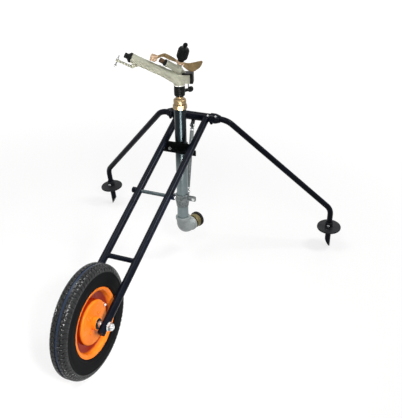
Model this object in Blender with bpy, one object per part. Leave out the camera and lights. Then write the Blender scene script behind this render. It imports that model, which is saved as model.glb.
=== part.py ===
# Large impact sprinkler on a one-wheeled tripod stand.
# Metres, +Z up. The wheel is at -Y, the legs splay to both sides of X and back to +Y.
# The origin is on the ground, at the centre of the stand's footprint box.
import bmesh
import bpy
from math import atan2, cos, pi, radians, sin, sqrt, tan
from mathutils import Matrix, Vector

for item in list(bpy.data.objects):
    bpy.data.objects.remove(item, do_unlink=True)

# Fits: GAP lies between touching pieces, RUN between pieces that turn or slide in each other
GAP = 0.0003
RUN = 0.0004

# Wheel
TYRE_RADIUS = 0.183
TYRE_WIDTH = 0.062
TYRE_WALL = 0.006
TREAD_GROOVE = 0.003
WHEEL_STEPS = 30
RIM_LIP_RADIUS = 0.1142
RIM_SEAT_RADIUS = 0.1015
RIM_WELL_RADIUS = 0.0775
RIM_HALF_WIDTH = 0.0255
RIM_SHEET = 0.002
DISC_RADIUS = 0.066
DISC_OFFSET = 0.0185
HUB_RADIUS = 0.0215
HUB_HALF_LENGTH = 0.0345
HUB_FLANGE_RADIUS = 0.045
HUB_FLANGE_THICKNESS = 0.004
HUB_BORE = 0.0135
BEARING_RADIUS = 0.0175
BEARING_WIDTH = 0.011
BEARING_LAND = 0.0022
SEAL_RECESS = 0.0006
SPACER_WALL = 0.003
AXLE_RADIUS = 0.007
AXLE_NUT_FLATS = 0.022
AXLE_NUT_HEIGHT = 0.011
AXLE_WASHER_RADIUS = 0.0145
AXLE_WASHER_THICKNESS = 0.002
AXLE_END = 0.004
RIM_BOLT_CIRCLE = 0.034
RIM_BOLT_COUNT = 4
RIM_BOLT_RADIUS = 0.003
RIM_BOLT_FLATS = 0.010
RIM_BOLT_HEAD = 0.0045
VALVE_ANGLE = 24.0
VALVE_RADIUS = 0.0035
VALVE_LENGTH = 0.030
VALVE_CAP = 0.009
VALVE_LEAN = 20.0
DISC_FOOT = 0.0055

# Stand
WHEEL_REACH = 0.694
RAIL_RADIUS = 0.0127
RAIL_WALL = 0.002
RAIL_HALF_SPACING = 0.0565
RAIL_TAIL = 0.030
RAIL_RISE = 0.0055
RAIL_TOP_SETBACK = 0.0145
CROSS_RADIUS = 0.0159
CROSS_HALF_LENGTH = 0.078
CROSS_BACK = 0.1164
CROSS_HEIGHT = 0.5666
LOW_BAR_RADIUS = 0.0085
LOW_BAR_CLEARANCE = 0.0458
ROD_RADIUS = 0.0065
ROD_HEIGHT = 0.4047
ROD_SLEEVE_RADIUS = 0.0105
ROD_SLEEVE_LENGTH = 0.011
PLATE_HEIGHT = 0.0425
PLATE_THICKNESS = 0.005
PLATE_BELOW_RAILS = 0.0120
STRAP_WIDTH = 0.030
STRAP_THICKNESS = 0.0035
STRAP_EAR = 0.016
BOLT_RADIUS = 0.003
BOLT_FLATS = 0.010
BOLT_HEAD = 0.0042

# Legs and foot plates
LEG_RADIUS = 0.0111
LEG_WALL = 0.0018
LEG_STUB_INSERT = 0.038
LEG_BEND_OUT = 0.1345
LEG_BEND_RADIUS = 0.055
KNEE_OUT = 0.5046
KNEE_BACK = 0.185
KNEE_HEIGHT = 0.1781
SPIKE_INWARD = 0.0473
SPIKE_BACKWARD = 0.1184
SPIKE_CUT_ANGLE = 32.0
FOOT_HEIGHT = 0.0945
FOOT_RADIUS = 0.0475
FOOT_THICKNESS = 0.003
FOOT_LIP = 0.004
FOOT_COLLAR_RADIUS = 0.0148
FOOT_COLLAR_HEIGHT = 0.026
FOOT_BOLT_HEIGHT = 0.012

# Leg sockets
SOCKET_RADIUS = 0.0205
SOCKET_START = RAIL_HALF_SPACING + RAIL_RADIUS + 2 * GAP
SOCKET_SHOULDER = 0.0985
SOCKET_END = 0.112
SOCKET_TIP_RADIUS = 0.0135
SOCKET_LUG_WIDTH = 0.012
SOCKET_LUG_DEPTH = 0.014
SOCKET_LUG_HEIGHT = 0.024
SOCKET_LUG_RISE = 0.004
SCREW_ANGLE = 45.0
SCREW_FLATS = 0.0087

# Riser, elbow and hose coupling
PIPE_RADIUS = 0.0212
PIPE_WALL = 0.0032
PIPE_TOP = 0.6455
PIPE_STEPS = 24
ELBOW_CENTRE = 0.145
ELBOW_REACH = 0.0535
ELBOW_BEND = 0.030
ELBOW_RADIUS = 0.0245
ELBOW_BAND_RADIUS = 0.028
ELBOW_BAND_WIDTH = 0.012
ELBOW_BORE = 0.0175
SOCKET_DEPTH = 0.018
OUTLET_TURN = 13.0
TAIL_COLLAR_RADIUS = 0.024
TAIL_COLLAR_WIDTH = 0.006
TAIL_RADIUS = 0.018
TAIL_BORE = 0.015
TAIL_LENGTH = 0.0325
TAIL_FLANGE_RADIUS = 0.0235
TAIL_FLANGE_WIDTH = 0.004
COUPLING_RADIUS = 0.0272
COUPLING_START = 0.0085
COUPLING_LENGTH = 0.033
COUPLING_LIP = 0.004
GUARD_RADIUS = 0.030
GUARD_WIDTH = 0.0115

# Saddle clamp and stay
SADDLE_TOP = 0.2945
SADDLE_BOTTOM = 0.2665
SADDLE_SKIRT = 0.0215
SADDLE_RADIUS = 0.0268
SADDLE_SPLIT = 0.002
SADDLE_EAR_SHORT = 0.040
SADDLE_EAR_LONG = 0.054
SADDLE_EAR_THICKNESS = 0.004
SADDLE_EAR_HEIGHT = 0.018
SADDLE_BOLT_INSET = 0.0075
STAY_RADIUS = 0.0075
STAY_WALL = 0.0015
STAY_TAB = 0.004
STAY_TAB_LENGTH = 0.018
STAY_TAB_WIDTH = 0.013
STAY_TOP_BACK = 0.1035
STAY_TOP_DROP = 0.033
STAY_FOOT_BACK = 0.0475
FORK_THICKNESS = 0.003
FORK_WIDTH = 0.016

# Adaptor, nipple, sleeve and trip collars
ADAPTOR_BOTTOM = 0.6342
ADAPTOR_TOP = 0.6506
ADAPTOR_FLATS = 0.047
COLLAR_TOP = 0.6712
COLLAR_RADIUS = 0.0213
NIPPLE_RADIUS = 0.01325
NIPPLE_BORE = 0.0114
SLEEVE_BOTTOM = 0.6805
SLEEVE_TOP = 0.7194
SLEEVE_RADIUS = 0.0194
SLEEVE_NECK_RADIUS = 0.0166
SLEEVE_WALL = 0.0013
SLEEVE_LIP = 0.0055
TRIP_BOTTOM = 0.6912
TRIP_TOP = 0.7118
TRIP_WALL = 0.0027
LUG_REACH = 0.029
LUG_WIDTH = 0.009
LOWER_LUG_AZIMUTH = 58.0
UPPER_LUG_AZIMUTH = 120.0
THUMB_SHANK_RADIUS = 0.0026
THUMB_SHANK_LENGTH = 0.0065
THUMB_WING_RADIUS = 0.0085
THUMB_WING_THICKNESS = 0.004
SPRING_WIRE = 0.0012
SPRING_TURNS = 3
SEAL_THICKNESS = 0.0035
SEAL_RADIUS = 0.0187
INLET_RADIUS = 0.0110
INLET_WALL = 0.0018
INLET_DROP = 0.030

# Cast body of the head, in its own frame: +X along the heading, riser axis at x = 0
HEADING = 198.0
CAST_BOTTOM = 0.7235
BARREL_RISE = 24.2
BARREL_CENTRE = 0.7407
BARREL_RADIUS = 0.0162
BARREL_LENGTH = 0.1795
BARREL_BORE = 0.0128
BARREL_END_RADIUS = 0.0172
BARREL_END_LENGTH = 0.010
INLET_CUP_RADIUS = 0.0203
CAST_BEND = 0.024
SPREADER_RISE = 3.9
SPREADER_START = 0.024
SPREADER_OFFSET = 0.0318
SPREADER_RADIUS = 0.0118
SPREADER_LENGTH = 0.0385
SPREADER_BORE = 0.0063
WEB_THICKNESS = 0.010
BOX_BACK = 0.0455
BOX_FRONT = 0.005
BOX_HALF_WIDTH = 0.0165
BOX_BOTTOM = 0.7302
BOX_TOP = 0.7615
BOX_WALL = 0.003
COVER_THICKNESS = 0.0045
COVER_HALF_WIDTH = 0.018
COVER_FRONT = 0.010
BRACKET_DROP = 0.028
BRACKET_HEIGHT = 0.011
BRACKET_THICKNESS = 0.009
BRACKET_SETBACK = 0.0355
BRACKET_OVERHANG = 0.0430
BRACKET_BOSS_RADIUS = 0.0068

# Nozzles
NOZZLE_FLANGE_RADIUS = 0.0177
NOZZLE_FLANGE_WIDTH = 0.0085
NOZZLE_SPIGOT = 0.014
NOZZLE_LENGTH = 0.0268
NOZZLE_STEP_RADIUS = 0.0108
NOZZLE_TIP_RADIUS = 0.0068
NOZZLE_BORE = 0.0062
SPREADER_NUT_FLATS = 0.0215
SPREADER_NUT_LENGTH = 0.0085
SPREADER_TIP_RADIUS = 0.0088
SPREADER_TIP_LENGTH = 0.0185
SPREADER_TIP_BORE = 0.0035
SPREADER_SPIGOT = 0.009

# Jet-breaker screw, measured from the barrel axis downwards
JET_SCREW_RADIUS = 0.0025
JET_SCREW_TIP = 0.0088
JET_SCREW_LENGTH = 0.045
JET_HEAD_RADIUS = 0.0046
JET_HEAD_HEIGHT = 0.0075

# Drive arm, in its own frame: +Z along the pivot, +X forwards, origin in the boss
PIVOT_X = -0.0052
PIVOT_Z = 0.8010
PIVOT_TILT = 17.5
ARM_BOSS_RADIUS = 0.013
ARM_BOSS_BELOW = 0.005
ARM_BOSS_ABOVE = 0.0048
ARM_THICKNESS = 0.006
ARM_PEAK = 0.0595
ARM_PEAK_RISE = 0.0145
ARM_DEPTH = 0.011
DEFLECTOR_START = 0.0790
DEFLECTOR_LENGTH = 0.0250
DEFLECTOR_TOP = -0.0020
DEFLECTOR_HEIGHT = 0.0223
DEFLECTOR_WIDTH = 0.017
DEFLECTOR_SLOT = 0.008
TAIL_REACH = 0.0737
TAIL_RISE = 0.0293
TAIL_DROP = 0.0201
TAIL_THICKNESS = 0.007
PIN_RADIUS = 0.004
PIN_TOP = 0.0480
PIN_SEAT = 0.015
PIVOT_BOSS_RADIUS = 0.0095
PIVOT_BOSS_HEIGHT = 0.017
ARM_SPRING_RADIUS = 0.0072
ARM_SPRING_WIRE = 0.0016
ARM_SPRING_TURNS = 6
CAP_BOTTOM = 0.0060
CAP_TOP = 0.0560
CAP_NECK_RADIUS = 0.0108
CAP_RADIUS = 0.0200
CAP_TOP_RADIUS = 0.0125
CAP_WALL = 0.0022
KNOB_RADIUS = 0.0078
KNOB_STEM_RADIUS = 0.0030

# Trip lever, hung in the housing on a pivot along the heading
LEVER_PIVOT_Z = 0.7470
LEVER_X = 0.0315
LEVER_THICKNESS = 0.003
LEVER_WIDTH = 0.005
LEVER_BOTTOM = 0.7008
LEVER_TOP = 0.7530
LEVER_HUB_RADIUS = 0.0042
LEVER_SHAFT_RADIUS = 0.0020
LEVER_SWING = 12.0


# Materials
def material(name, colour, roughness, metallic):
    made = bpy.data.materials.new(name)
    made.use_nodes = True
    shader = made.node_tree.nodes["Principled BSDF"]
    shader.inputs["Base Color"].default_value = (*colour, 1.0)
    shader.inputs["Roughness"].default_value = roughness
    shader.inputs["Metallic"].default_value = metallic
    return made


BLACK_PAINT = material("black paint", (0.012, 0.015, 0.022), 0.32, 0.0)
BLACK_PLASTIC = material("black plastic", (0.010, 0.011, 0.011), 0.45, 0.0)
CASTING = material("cast aluminium", (0.42, 0.43, 0.34), 0.5, 0.3)
GALVANISED = material("galvanised steel", (0.30, 0.35, 0.36), 0.4, 0.7)
BRASS = material("brass", (0.50, 0.31, 0.13), 0.35, 0.8)
BRONZE = material("bronze", (0.36, 0.24, 0.11), 0.45, 0.7)
STEEL = material("zinc plated steel", (0.60, 0.61, 0.62), 0.3, 0.9)
RUBBER = material("rubber", (0.022, 0.023, 0.024), 0.75, 0.0)
ORANGE_PAINT = material("orange paint", (0.86, 0.20, 0.02), 0.38, 0.0)
WHITE_NYLON = material("white nylon", (0.75, 0.75, 0.70), 0.5, 0.0)


# Objects
def empty(name, parent=None, location=(0, 0, 0), rotation=None):
    point = bpy.data.objects.new(name, None)
    bpy.context.collection.objects.link(point)
    point.parent = parent
    point.location = location
    if rotation is not None:
        point.rotation_mode = "QUATERNION"
        point.rotation_quaternion = rotation
    return point


def solid(name, bm, look, parent, location=(0, 0, 0), rotation=None):
    bmesh.ops.remove_doubles(bm, verts=bm.verts, dist=1e-7)
    bmesh.ops.recalc_face_normals(bm, faces=bm.faces)
    mesh = bpy.data.meshes.new(name)
    bm.to_mesh(mesh)
    bm.free()
    mesh.materials.append(look)
    mesh.shade_smooth()
    mesh.set_sharp_from_angle(angle=radians(35))
    made = bpy.data.objects.new(name, mesh)
    bpy.context.collection.objects.link(made)
    made.parent = parent
    made.location = location
    if rotation is not None:
        made.rotation_mode = "QUATERNION"
        made.rotation_quaternion = rotation
    return made


def combine(target, tool, operation):
    step = target.modifiers.new(tool.name, "BOOLEAN")
    step.operation = operation
    step.solver = "EXACT"
    step.object = tool
    tool.hide_render = True
    tool.display_type = "WIRE"


def cut(target, tool):
    combine(target, tool, "DIFFERENCE")


def join(target, tool):
    combine(target, tool, "UNION")


def pointing(direction):
    return Vector(direction).to_track_quat("Z", "Y")


# Shapes: each adds to a bmesh and can be placed by a matrix
def circle(radius, height, count):
    return [Vector((radius * cos(2 * pi * i / count), radius * sin(2 * pi * i / count), height))
            for i in range(count)]


# A hexagon with a corner at 30 degrees and its flats on the X axis, in count points
def hexagon(flats, height, count=6):
    points = []
    for i in range(count):
        angle = 30 + 360.0 * i / count
        reach = flats / 2 / cos(radians((angle + 30) % 60 - 30))
        points.append(Vector((reach * cos(radians(angle)), reach * sin(radians(angle)), height)))
    return points


# The corner radius of a polygon whose flats lie at this radius
def around(radius, count=12):
    return radius / cos(pi / count)


# Quads between rings of equal count; ends are capped, or the last ring meets the first
def skin(bm, rings, ring_closed=False, place=Matrix()):
    layers = [[bm.verts.new(place @ point) for point in ring] for ring in rings]
    pairs = list(zip(layers, layers[1:]))
    if ring_closed:
        pairs.append((layers[-1], layers[0]))
    for low, high in pairs:
        for i in range(len(low)):
            j = (i + 1) % len(low)
            bm.faces.new((low[i], low[j], high[j], high[i]))
    if not ring_closed:
        bm.faces.new(list(reversed(layers[0])))
        bm.faces.new(layers[-1])


# Turns (radius, height) points about Z. A closed outline is a ring with a hole in it
def spin_outline(bm, outline, steps, closed, place=Matrix()):
    chain = [bm.verts.new((radius, 0, height)) for radius, height in outline]
    edges = [bm.edges.new(pair) for pair in zip(chain, chain[1:])]
    if closed:
        edges.append(bm.edges.new((chain[-1], chain[0])))
    before = set(bm.verts) - set(chain)
    bmesh.ops.spin(bm, geom=chain + edges, cent=(0, 0, 0), axis=(0, 0, 1), angle=2 * pi,
                   steps=steps, use_merge=True, use_duplicate=False)
    made = [vert for vert in bm.verts if vert not in before]
    bmesh.ops.transform(bm, matrix=place, verts=made)


def turned(name, outline, look, parent, location=(0, 0, 0), rotation=None, steps=32, closed=True):
    bm = bmesh.new()
    spin_outline(bm, outline, steps, closed)
    return solid(name, bm, look, parent, location, rotation)


def tube_outline(inner, outer, low, high):
    return [(outer, high), (outer, low), (inner, low), (inner, high)]


def rod_outline(radius, low, high):
    return [(0, high), (radius, high), (radius, low), (0, low)]


def box(bm, low, high, place=Matrix()):
    size = Vector(high) - Vector(low)
    centre = (Vector(high) + Vector(low)) / 2
    bmesh.ops.create_cube(bm, size=1.0,
                          matrix=place @ Matrix.Translation(centre) @ Matrix.Diagonal((*size, 1)))


def boxed(name, low, high, look, parent, location=(0, 0, 0), rotation=None):
    bm = bmesh.new()
    box(bm, low, high)
    return solid(name, bm, look, parent, location, rotation)


# Extrudes an outline of (across, up) points from low to high along Y, or along Z
def plate(bm, outline, low, high, flat_axis="Y", place=Matrix()):
    if flat_axis == "Y":
        points = [Vector((x, low, z)) for x, z in outline]
        push = Vector((0, high - low, 0))
    else:
        points = [Vector((x, y, low)) for x, y in outline]
        push = Vector((0, 0, high - low))
    face = bm.faces.new([bm.verts.new(place @ point) for point in points])
    made = bmesh.ops.extrude_face_region(bm, geom=[face])
    top = [part for part in made["geom"] if isinstance(part, bmesh.types.BMVert)]
    bmesh.ops.translate(bm, verts=top, vec=place.to_3x3() @ push)


def plated(name, outline, low, high, look, parent, location=(0, 0, 0), rotation=None, flat_axis="Y"):
    bm = bmesh.new()
    plate(bm, outline, low, high, flat_axis)
    return solid(name, bm, look, parent, location, rotation)


# A hex bolt along -Z with its head on z = 0, and a nut whose top face is nut_at below it
def bolt(bm, flats, head, radius, length, nut_at=None, place=Matrix()):
    shank = 2 * radius * cos(pi / 6)
    rings = [hexagon(flats, head), hexagon(flats, 0), hexagon(shank, 0)]
    if nut_at is None:
        rings.append(hexagon(shank, -length))
    else:
        nut_end = -nut_at - head
        rings += [hexagon(shank, -nut_at), hexagon(flats, -nut_at), hexagon(flats, nut_end),
                  hexagon(shank, nut_end), hexagon(shank, min(-length, nut_end - radius / 2))]
    skin(bm, rings, place=place)


# One matrix at each point of a path, its Z along the path and its X kept near side
def frames_along(points, side):
    frames = []
    for i, point in enumerate(points):
        before = points[max(i - 1, 0)]
        after = points[min(i + 1, len(points) - 1)]
        ahead = (after - point).normalized() if i == 0 else (point - before).normalized()
        if 0 < i < len(points) - 1:
            ahead = ((after - point).normalized() + ahead).normalized()
        across = (Vector(side) - Vector(side).dot(ahead) * ahead).normalized()
        other = ahead.cross(across)
        turn = Matrix((across, other, ahead)).transposed().to_4x4()
        frames.append(Matrix.Translation(point) @ turn)
    return frames


# A path through corners, with an arc of radius bend at each inner corner
def rounded(corners, bend, steps=6):
    path = [Vector(corners[0])]
    for before, corner, after in zip(corners, corners[1:], corners[2:]):
        corner = Vector(corner)
        back = (Vector(before) - corner).normalized()
        ahead = (Vector(after) - corner).normalized()
        half = back.angle(ahead) / 2
        reach = bend / tan(half)
        centre = corner + (back + ahead).normalized() * (bend / sin(half))
        start = corner + back * reach
        sweep = pi - 2 * half
        axis = back.cross(ahead)
        for i in range(steps + 1):
            turn = Matrix.Rotation(-sweep * i / steps, 3, axis)
            path.append(centre + turn @ (start - centre))
    path.append(Vector(corners[-1]))
    return path


# A rod along points, or a tube where inner is given; radii are numbers or one for each point
def sweep(bm, points, outer, inner=None, count=16, side=(0, 1, 0)):
    frames = frames_along(points, side)

    def rings(radius):
        sizes = radius if isinstance(radius, list) else [radius] * len(points)
        return [[frame @ spot for spot in circle(size, 0, count)] for frame, size in zip(frames, sizes)]

    if inner is None:
        skin(bm, rings(outer))
    else:
        skin(bm, rings(outer) + list(reversed(rings(inner))), ring_closed=True)


# A spring about Z whose wire axis runs from low to high
def coil(bm, radius, wire, low, high, turns, count=12, sides=6):
    total = int(turns * count)
    points = []
    for i in range(total + 1):
        angle = 2 * pi * i / count
        height = low + (high - low) * i / total
        points.append(Vector((radius * cos(angle), radius * sin(angle), height)))
    frames = []
    for i, point in enumerate(points):
        ahead = (points[min(i + 1, total)] - points[max(i - 1, 0)]).normalized()
        outward = Vector((point.x, point.y, 0)).normalized()
        other = ahead.cross(outward).normalized()
        frames.append(Matrix.Translation(point) @ Matrix((outward, other, ahead)).transposed().to_4x4())
    skin(bm, [[frame @ spot for spot in circle(wire / 2, 0, sides)] for frame in frames])


# Lay-out: the riser axis is x = y = 0 here, and stand_frame moves all of it to the origin
axle_point = Vector((0, -WHEEL_REACH, TYRE_RADIUS))
cross_point = Vector((0, CROSS_BACK, CROSS_HEIGHT))
rail_aim = cross_point + Vector((0, 0, RAIL_RISE))
rail_along = (rail_aim - axle_point).normalized()
foot_fall = Vector((-SPIKE_INWARD, SPIKE_BACKWARD, -1)).normalized()
knee_point = Vector((KNEE_OUT, CROSS_BACK + KNEE_BACK, KNEE_HEIGHT))
foot_point = knee_point + foot_fall * ((FOOT_HEIGHT - KNEE_HEIGHT) / foot_fall.z)
foot_rear = foot_point.y + FOOT_RADIUS * sqrt(1 - foot_fall.y ** 2)
footprint_middle = (foot_rear - WHEEL_REACH - TYRE_RADIUS) / 2

stand = empty("stand_frame", location=(0, -footprint_middle, 0))
wheel = empty("wheel_axis", stand, axle_point, Matrix.Rotation(pi / 2, 3, "Y").to_quaternion())
head = empty("head_axis", stand, (0, 0, 0), Matrix.Rotation(radians(HEADING), 3, "Z").to_quaternion())
barrel = empty("barrel_axis", head, (0, 0, BARREL_CENTRE),
               Matrix.Rotation(-radians(BARREL_RISE), 3, "Y").to_quaternion())
arm = empty("arm_axis", head, (PIVOT_X, 0, PIVOT_Z),
            Matrix.Rotation(-radians(PIVOT_TILT), 3, "Y").to_quaternion())
outlet = empty("outlet_axis", stand, (0, 0, ELBOW_CENTRE),
               pointing((sin(radians(OUTLET_TURN)), cos(radians(OUTLET_TURN)), 0)))

along_x = Matrix.Rotation(pi / 2, 3, "Y").to_quaternion()
towards_front = pointing((0, -1, 0))


# The point at this height on the plane of the rails' axes
def on_rail(height):
    share = (height - axle_point.z) / rail_along.z
    return axle_point + rail_along * share


# Wheel
# The closed outline of a sheet that is bent along the middle points
def offset_outline(middle, thickness):
    left, right = [], []
    for i, (radius, height) in enumerate(middle):
        before = Vector(middle[max(i - 1, 0)])
        here = Vector((radius, height))
        after = Vector(middle[min(i + 1, len(middle) - 1)])
        first = (here - before).normalized() if i else (after - here).normalized()
        second = (after - here).normalized() if i < len(middle) - 1 else first
        bisect = (first + second).normalized()
        normal = Vector((-bisect.y, bisect.x))
        reach = thickness / 2 / max(bisect.dot(first), 0.5)
        left.append(here + normal * reach)
        right.append(here - normal * reach)
    return [tuple(point) for point in left + right[::-1]]


def make_tyre():
    half = TYRE_WIDTH / 2
    bead = RIM_SEAT_RADIUS + RIM_SHEET / 2 + GAP
    lip = RIM_LIP_RADIUS + 0.0012
    in_rim = RIM_HALF_WIDTH - 0.0045
    outer = [(TYRE_RADIUS - TREAD_GROOVE, half * 0.04), (TYRE_RADIUS, half * 0.10),
             (TYRE_RADIUS - 0.002, half * 0.55),
             (TYRE_RADIUS - 0.0130, half * 0.86), (TYRE_RADIUS - 0.036, half), (lip, half * 0.86),
             (lip, in_rim),
             (bead, in_rim)]
    inner = [(bead, in_rim - TYRE_WALL), (TYRE_RADIUS - 0.045, half - TYRE_WALL),
             (TYRE_RADIUS - 0.020, half * 0.66), (TYRE_RADIUS - TYRE_WALL - TREAD_GROOVE, half * 0.30)]
    right = outer + inner
    turned("tyre", right + [(radius, -height) for radius, height in reversed(right)], RUBBER, wheel,
           steps=WHEEL_STEPS)


# Middle line of one pressed half: flange, bead seat, well, then the dished disc
def rim_sheet():
    web = RIM_SHEET / 2 + GAP / 2
    return [(RIM_LIP_RADIUS, RIM_HALF_WIDTH - RIM_SHEET / 2), (RIM_SEAT_RADIUS, RIM_HALF_WIDTH - 0.0030),
            (RIM_SEAT_RADIUS, RIM_HALF_WIDTH - 0.0125), (RIM_WELL_RADIUS + 0.0025, 0.0075),
            (RIM_WELL_RADIUS, web),
            (DISC_RADIUS + DISC_FOOT, web), (DISC_RADIUS + 0.0010, DISC_OFFSET * 0.65),
            (DISC_RADIUS - 0.0040, DISC_OFFSET),
            (HUB_RADIUS + GAP, DISC_OFFSET)]


def make_rims():
    outline = offset_outline(rim_sheet(), RIM_SHEET)
    near = turned("rim_near_half", outline, ORANGE_PAINT, wheel, steps=WHEEL_STEPS)
    far = turned("rim_far_half", [(radius, -height) for radius, height in reversed(outline)], ORANGE_PAINT,
                 wheel, steps=WHEEL_STEPS)
    holes = bmesh.new()
    for k in range(RIM_BOLT_COUNT):
        spin_outline(holes, rod_outline(around(RIM_BOLT_RADIUS + GAP, 8), -HUB_HALF_LENGTH,
                                        HUB_HALF_LENGTH), 8,
                     False, rim_bolt_place(k))
    holes = solid("cut_rim_bolt_holes", holes, STEEL, wheel)
    for half in (near, far):
        cut(half, holes)


def rim_bolt_place(k):
    turn = Matrix.Rotation(2 * pi * k / RIM_BOLT_COUNT + pi / 5, 4, "Z")
    return turn @ Matrix.Translation((RIM_BOLT_CIRCLE, 0, 0))


def make_hub():
    seat = BEARING_WIDTH + GAP
    bearing_bore = BEARING_RADIUS + GAP
    flange_top = DISC_OFFSET - RIM_SHEET / 2 - GAP
    flange_low = flange_top - HUB_FLANGE_THICKNESS
    right = [(HUB_BORE, HUB_HALF_LENGTH - seat), (bearing_bore, HUB_HALF_LENGTH - seat),
             (bearing_bore, HUB_HALF_LENGTH), (HUB_RADIUS, HUB_HALF_LENGTH), (HUB_RADIUS, flange_top),
             (HUB_FLANGE_RADIUS, flange_top), (HUB_FLANGE_RADIUS, flange_low), (HUB_RADIUS, flange_low)]
    outline = right + [(radius, -height) for radius, height in reversed(right)]
    hub = turned("hub", outline, BLACK_PAINT, wheel, steps=20)

    bolts = bmesh.new()
    outer_face = DISC_OFFSET + RIM_SHEET / 2 + GAP
    for k in range(RIM_BOLT_COUNT):
        place = rim_bolt_place(k) @ Matrix.Translation((0, 0, outer_face))
        bolt(bolts, RIM_BOLT_FLATS, RIM_BOLT_HEAD, RIM_BOLT_RADIUS, 2 * outer_face, nut_at=2 * outer_face,
             place=place)
    join(hub, solid("add_rim_bolts", bolts, STEEL, wheel))


# A sealed ball bearing in each end of the hub, with the seal's recess in both faces
def make_bearings():
    middle = HUB_HALF_LENGTH - BEARING_WIDTH / 2
    bore = around(AXLE_RADIUS + RUN, 20)
    low, high = -BEARING_WIDTH / 2, BEARING_WIDTH / 2
    inner_land, outer_land = bore + BEARING_LAND, BEARING_RADIUS - BEARING_LAND
    outline = [(BEARING_RADIUS, high), (BEARING_RADIUS, low), (outer_land, low),
               (outer_land, low + SEAL_RECESS),
               (inner_land, low + SEAL_RECESS), (inner_land, low), (bore, low), (bore, high),
               (inner_land, high),
               (inner_land, high - SEAL_RECESS), (outer_land, high - SEAL_RECESS), (outer_land, high)]
    for tag, side in (("left", -1), ("right", 1)):
        turned(f"bearing_{tag}", outline, STEEL, wheel, (0, 0, side * middle), steps=20)


def make_axle():
    rail_face = RAIL_HALF_SPACING + RAIL_RADIUS + GAP
    flange_face = rail_face + AXLE_WASHER_THICKNESS
    nut_end = flange_face + AXLE_NUT_HEIGHT
    head_rings = [hexagon(AXLE_NUT_FLATS, -nut_end, 12), hexagon(AXLE_NUT_FLATS, -flange_face, 12),
                  circle(AXLE_WASHER_RADIUS, -flange_face, 12), circle(AXLE_WASHER_RADIUS, -rail_face, 12),
                  circle(AXLE_RADIUS, -rail_face, 12), circle(AXLE_RADIUS, nut_end + AXLE_END, 12)]
    bm = bmesh.new()
    skin(bm, head_rings)
    solid("axle", bm, STEEL, wheel)
    hole = around(AXLE_RADIUS + GAP)
    nut_rings = [circle(hole, rail_face, 12), circle(AXLE_WASHER_RADIUS, rail_face, 12),
                 circle(AXLE_WASHER_RADIUS, flange_face, 12), hexagon(AXLE_NUT_FLATS, flange_face, 12),
                 hexagon(AXLE_NUT_FLATS, nut_end, 12), circle(hole, nut_end, 12)]
    bm = bmesh.new()
    skin(bm, nut_rings, ring_closed=True)
    solid("axle_nut", bm, STEEL, wheel)
    start = HUB_HALF_LENGTH + GAP
    length = RAIL_HALF_SPACING - RAIL_RADIUS - GAP - start
    outline = tube_outline(hole, hole + SPACER_WALL, -length / 2, length / 2)
    for tag, side in (("left", -1), ("right", 1)):
        turned(f"axle_spacer_{tag}", outline, STEEL, wheel, (0, 0, side * (start + length / 2)), steps=12)


# The stem stands on the flat ring between the dished disc and the well of the near half
def make_valve():
    shank = VALVE_RADIUS * 0.72
    ring = (RIM_WELL_RADIUS + DISC_RADIUS + DISC_FOOT) / 2 + GAP
    face = RIM_SHEET + GAP / 2 + GAP + shank * sin(radians(VALVE_LEAN))
    turn = Matrix.Rotation(radians(VALVE_ANGLE) + pi / 2, 4, "Z")
    place = turn @ Matrix.Translation((ring, 0, face)) @ Matrix.Rotation(-radians(VALVE_LEAN), 4, "Y")
    bm = bmesh.new()
    cap = VALVE_LENGTH - VALVE_CAP
    outline = [(0, VALVE_LENGTH), (VALVE_RADIUS * 0.85, VALVE_LENGTH),
               (VALVE_RADIUS, VALVE_LENGTH - 0.0012),
               (VALVE_RADIUS, cap), (shank, cap), (shank, 0), (0, 0)]
    spin_outline(bm, outline, 10, False, place)
    solid("valve_stem", bm, STEEL, wheel)


# Rails and cross members
def make_rails():
    tail = axle_point - rail_along * RAIL_TAIL
    top = rail_aim - rail_along * RAIL_TOP_SETBACK
    cross_mouth = turned("cut_rail_mouth", rod_outline(CROSS_RADIUS + GAP, -0.2, 0.2), STEEL, stand,
                         cross_point, along_x, steps=24, closed=False)
    axle_hole = turned("cut_axle_hole", rod_outline(AXLE_RADIUS + GAP, -0.1, 0.1), STEEL, wheel, steps=16,
                       closed=False)
    rod_hole = turned("cut_rod_hole", rod_outline(ROD_RADIUS + GAP, -0.1, 0.1), STEEL, stand,
                      on_rail(ROD_HEIGHT), along_x, steps=12, closed=False)
    for name, side in (("rail_left", -1), ("rail_right", 1)):
        across = Vector((side * RAIL_HALF_SPACING, 0, 0))
        bm = bmesh.new()
        sweep(bm, [tail + across, top + across], RAIL_RADIUS, RAIL_RADIUS - RAIL_WALL, count=16,
              side=(1, 0, 0))
        rail = solid(name, bm, BLACK_PAINT, stand)
        for tool in (cross_mouth, axle_hole, rod_hole):
            cut(rail, tool)


def make_cross_tube():
    bore = LEG_RADIUS + RUN
    tube = turned("cross_tube", tube_outline(bore, CROSS_RADIUS, -CROSS_HALF_LENGTH, CROSS_HALF_LENGTH),
                  BLACK_PAINT, stand, cross_point, along_x, steps=24)
    join(tube, locking_screws("cross_tube", screw_spots()[:1] + screw_spots()[2:3]))


# The bar clears the tread by its named clearance
def low_bar_point():
    return axle_point + rail_along * (TYRE_RADIUS + LOW_BAR_CLEARANCE + LOW_BAR_RADIUS)


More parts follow.
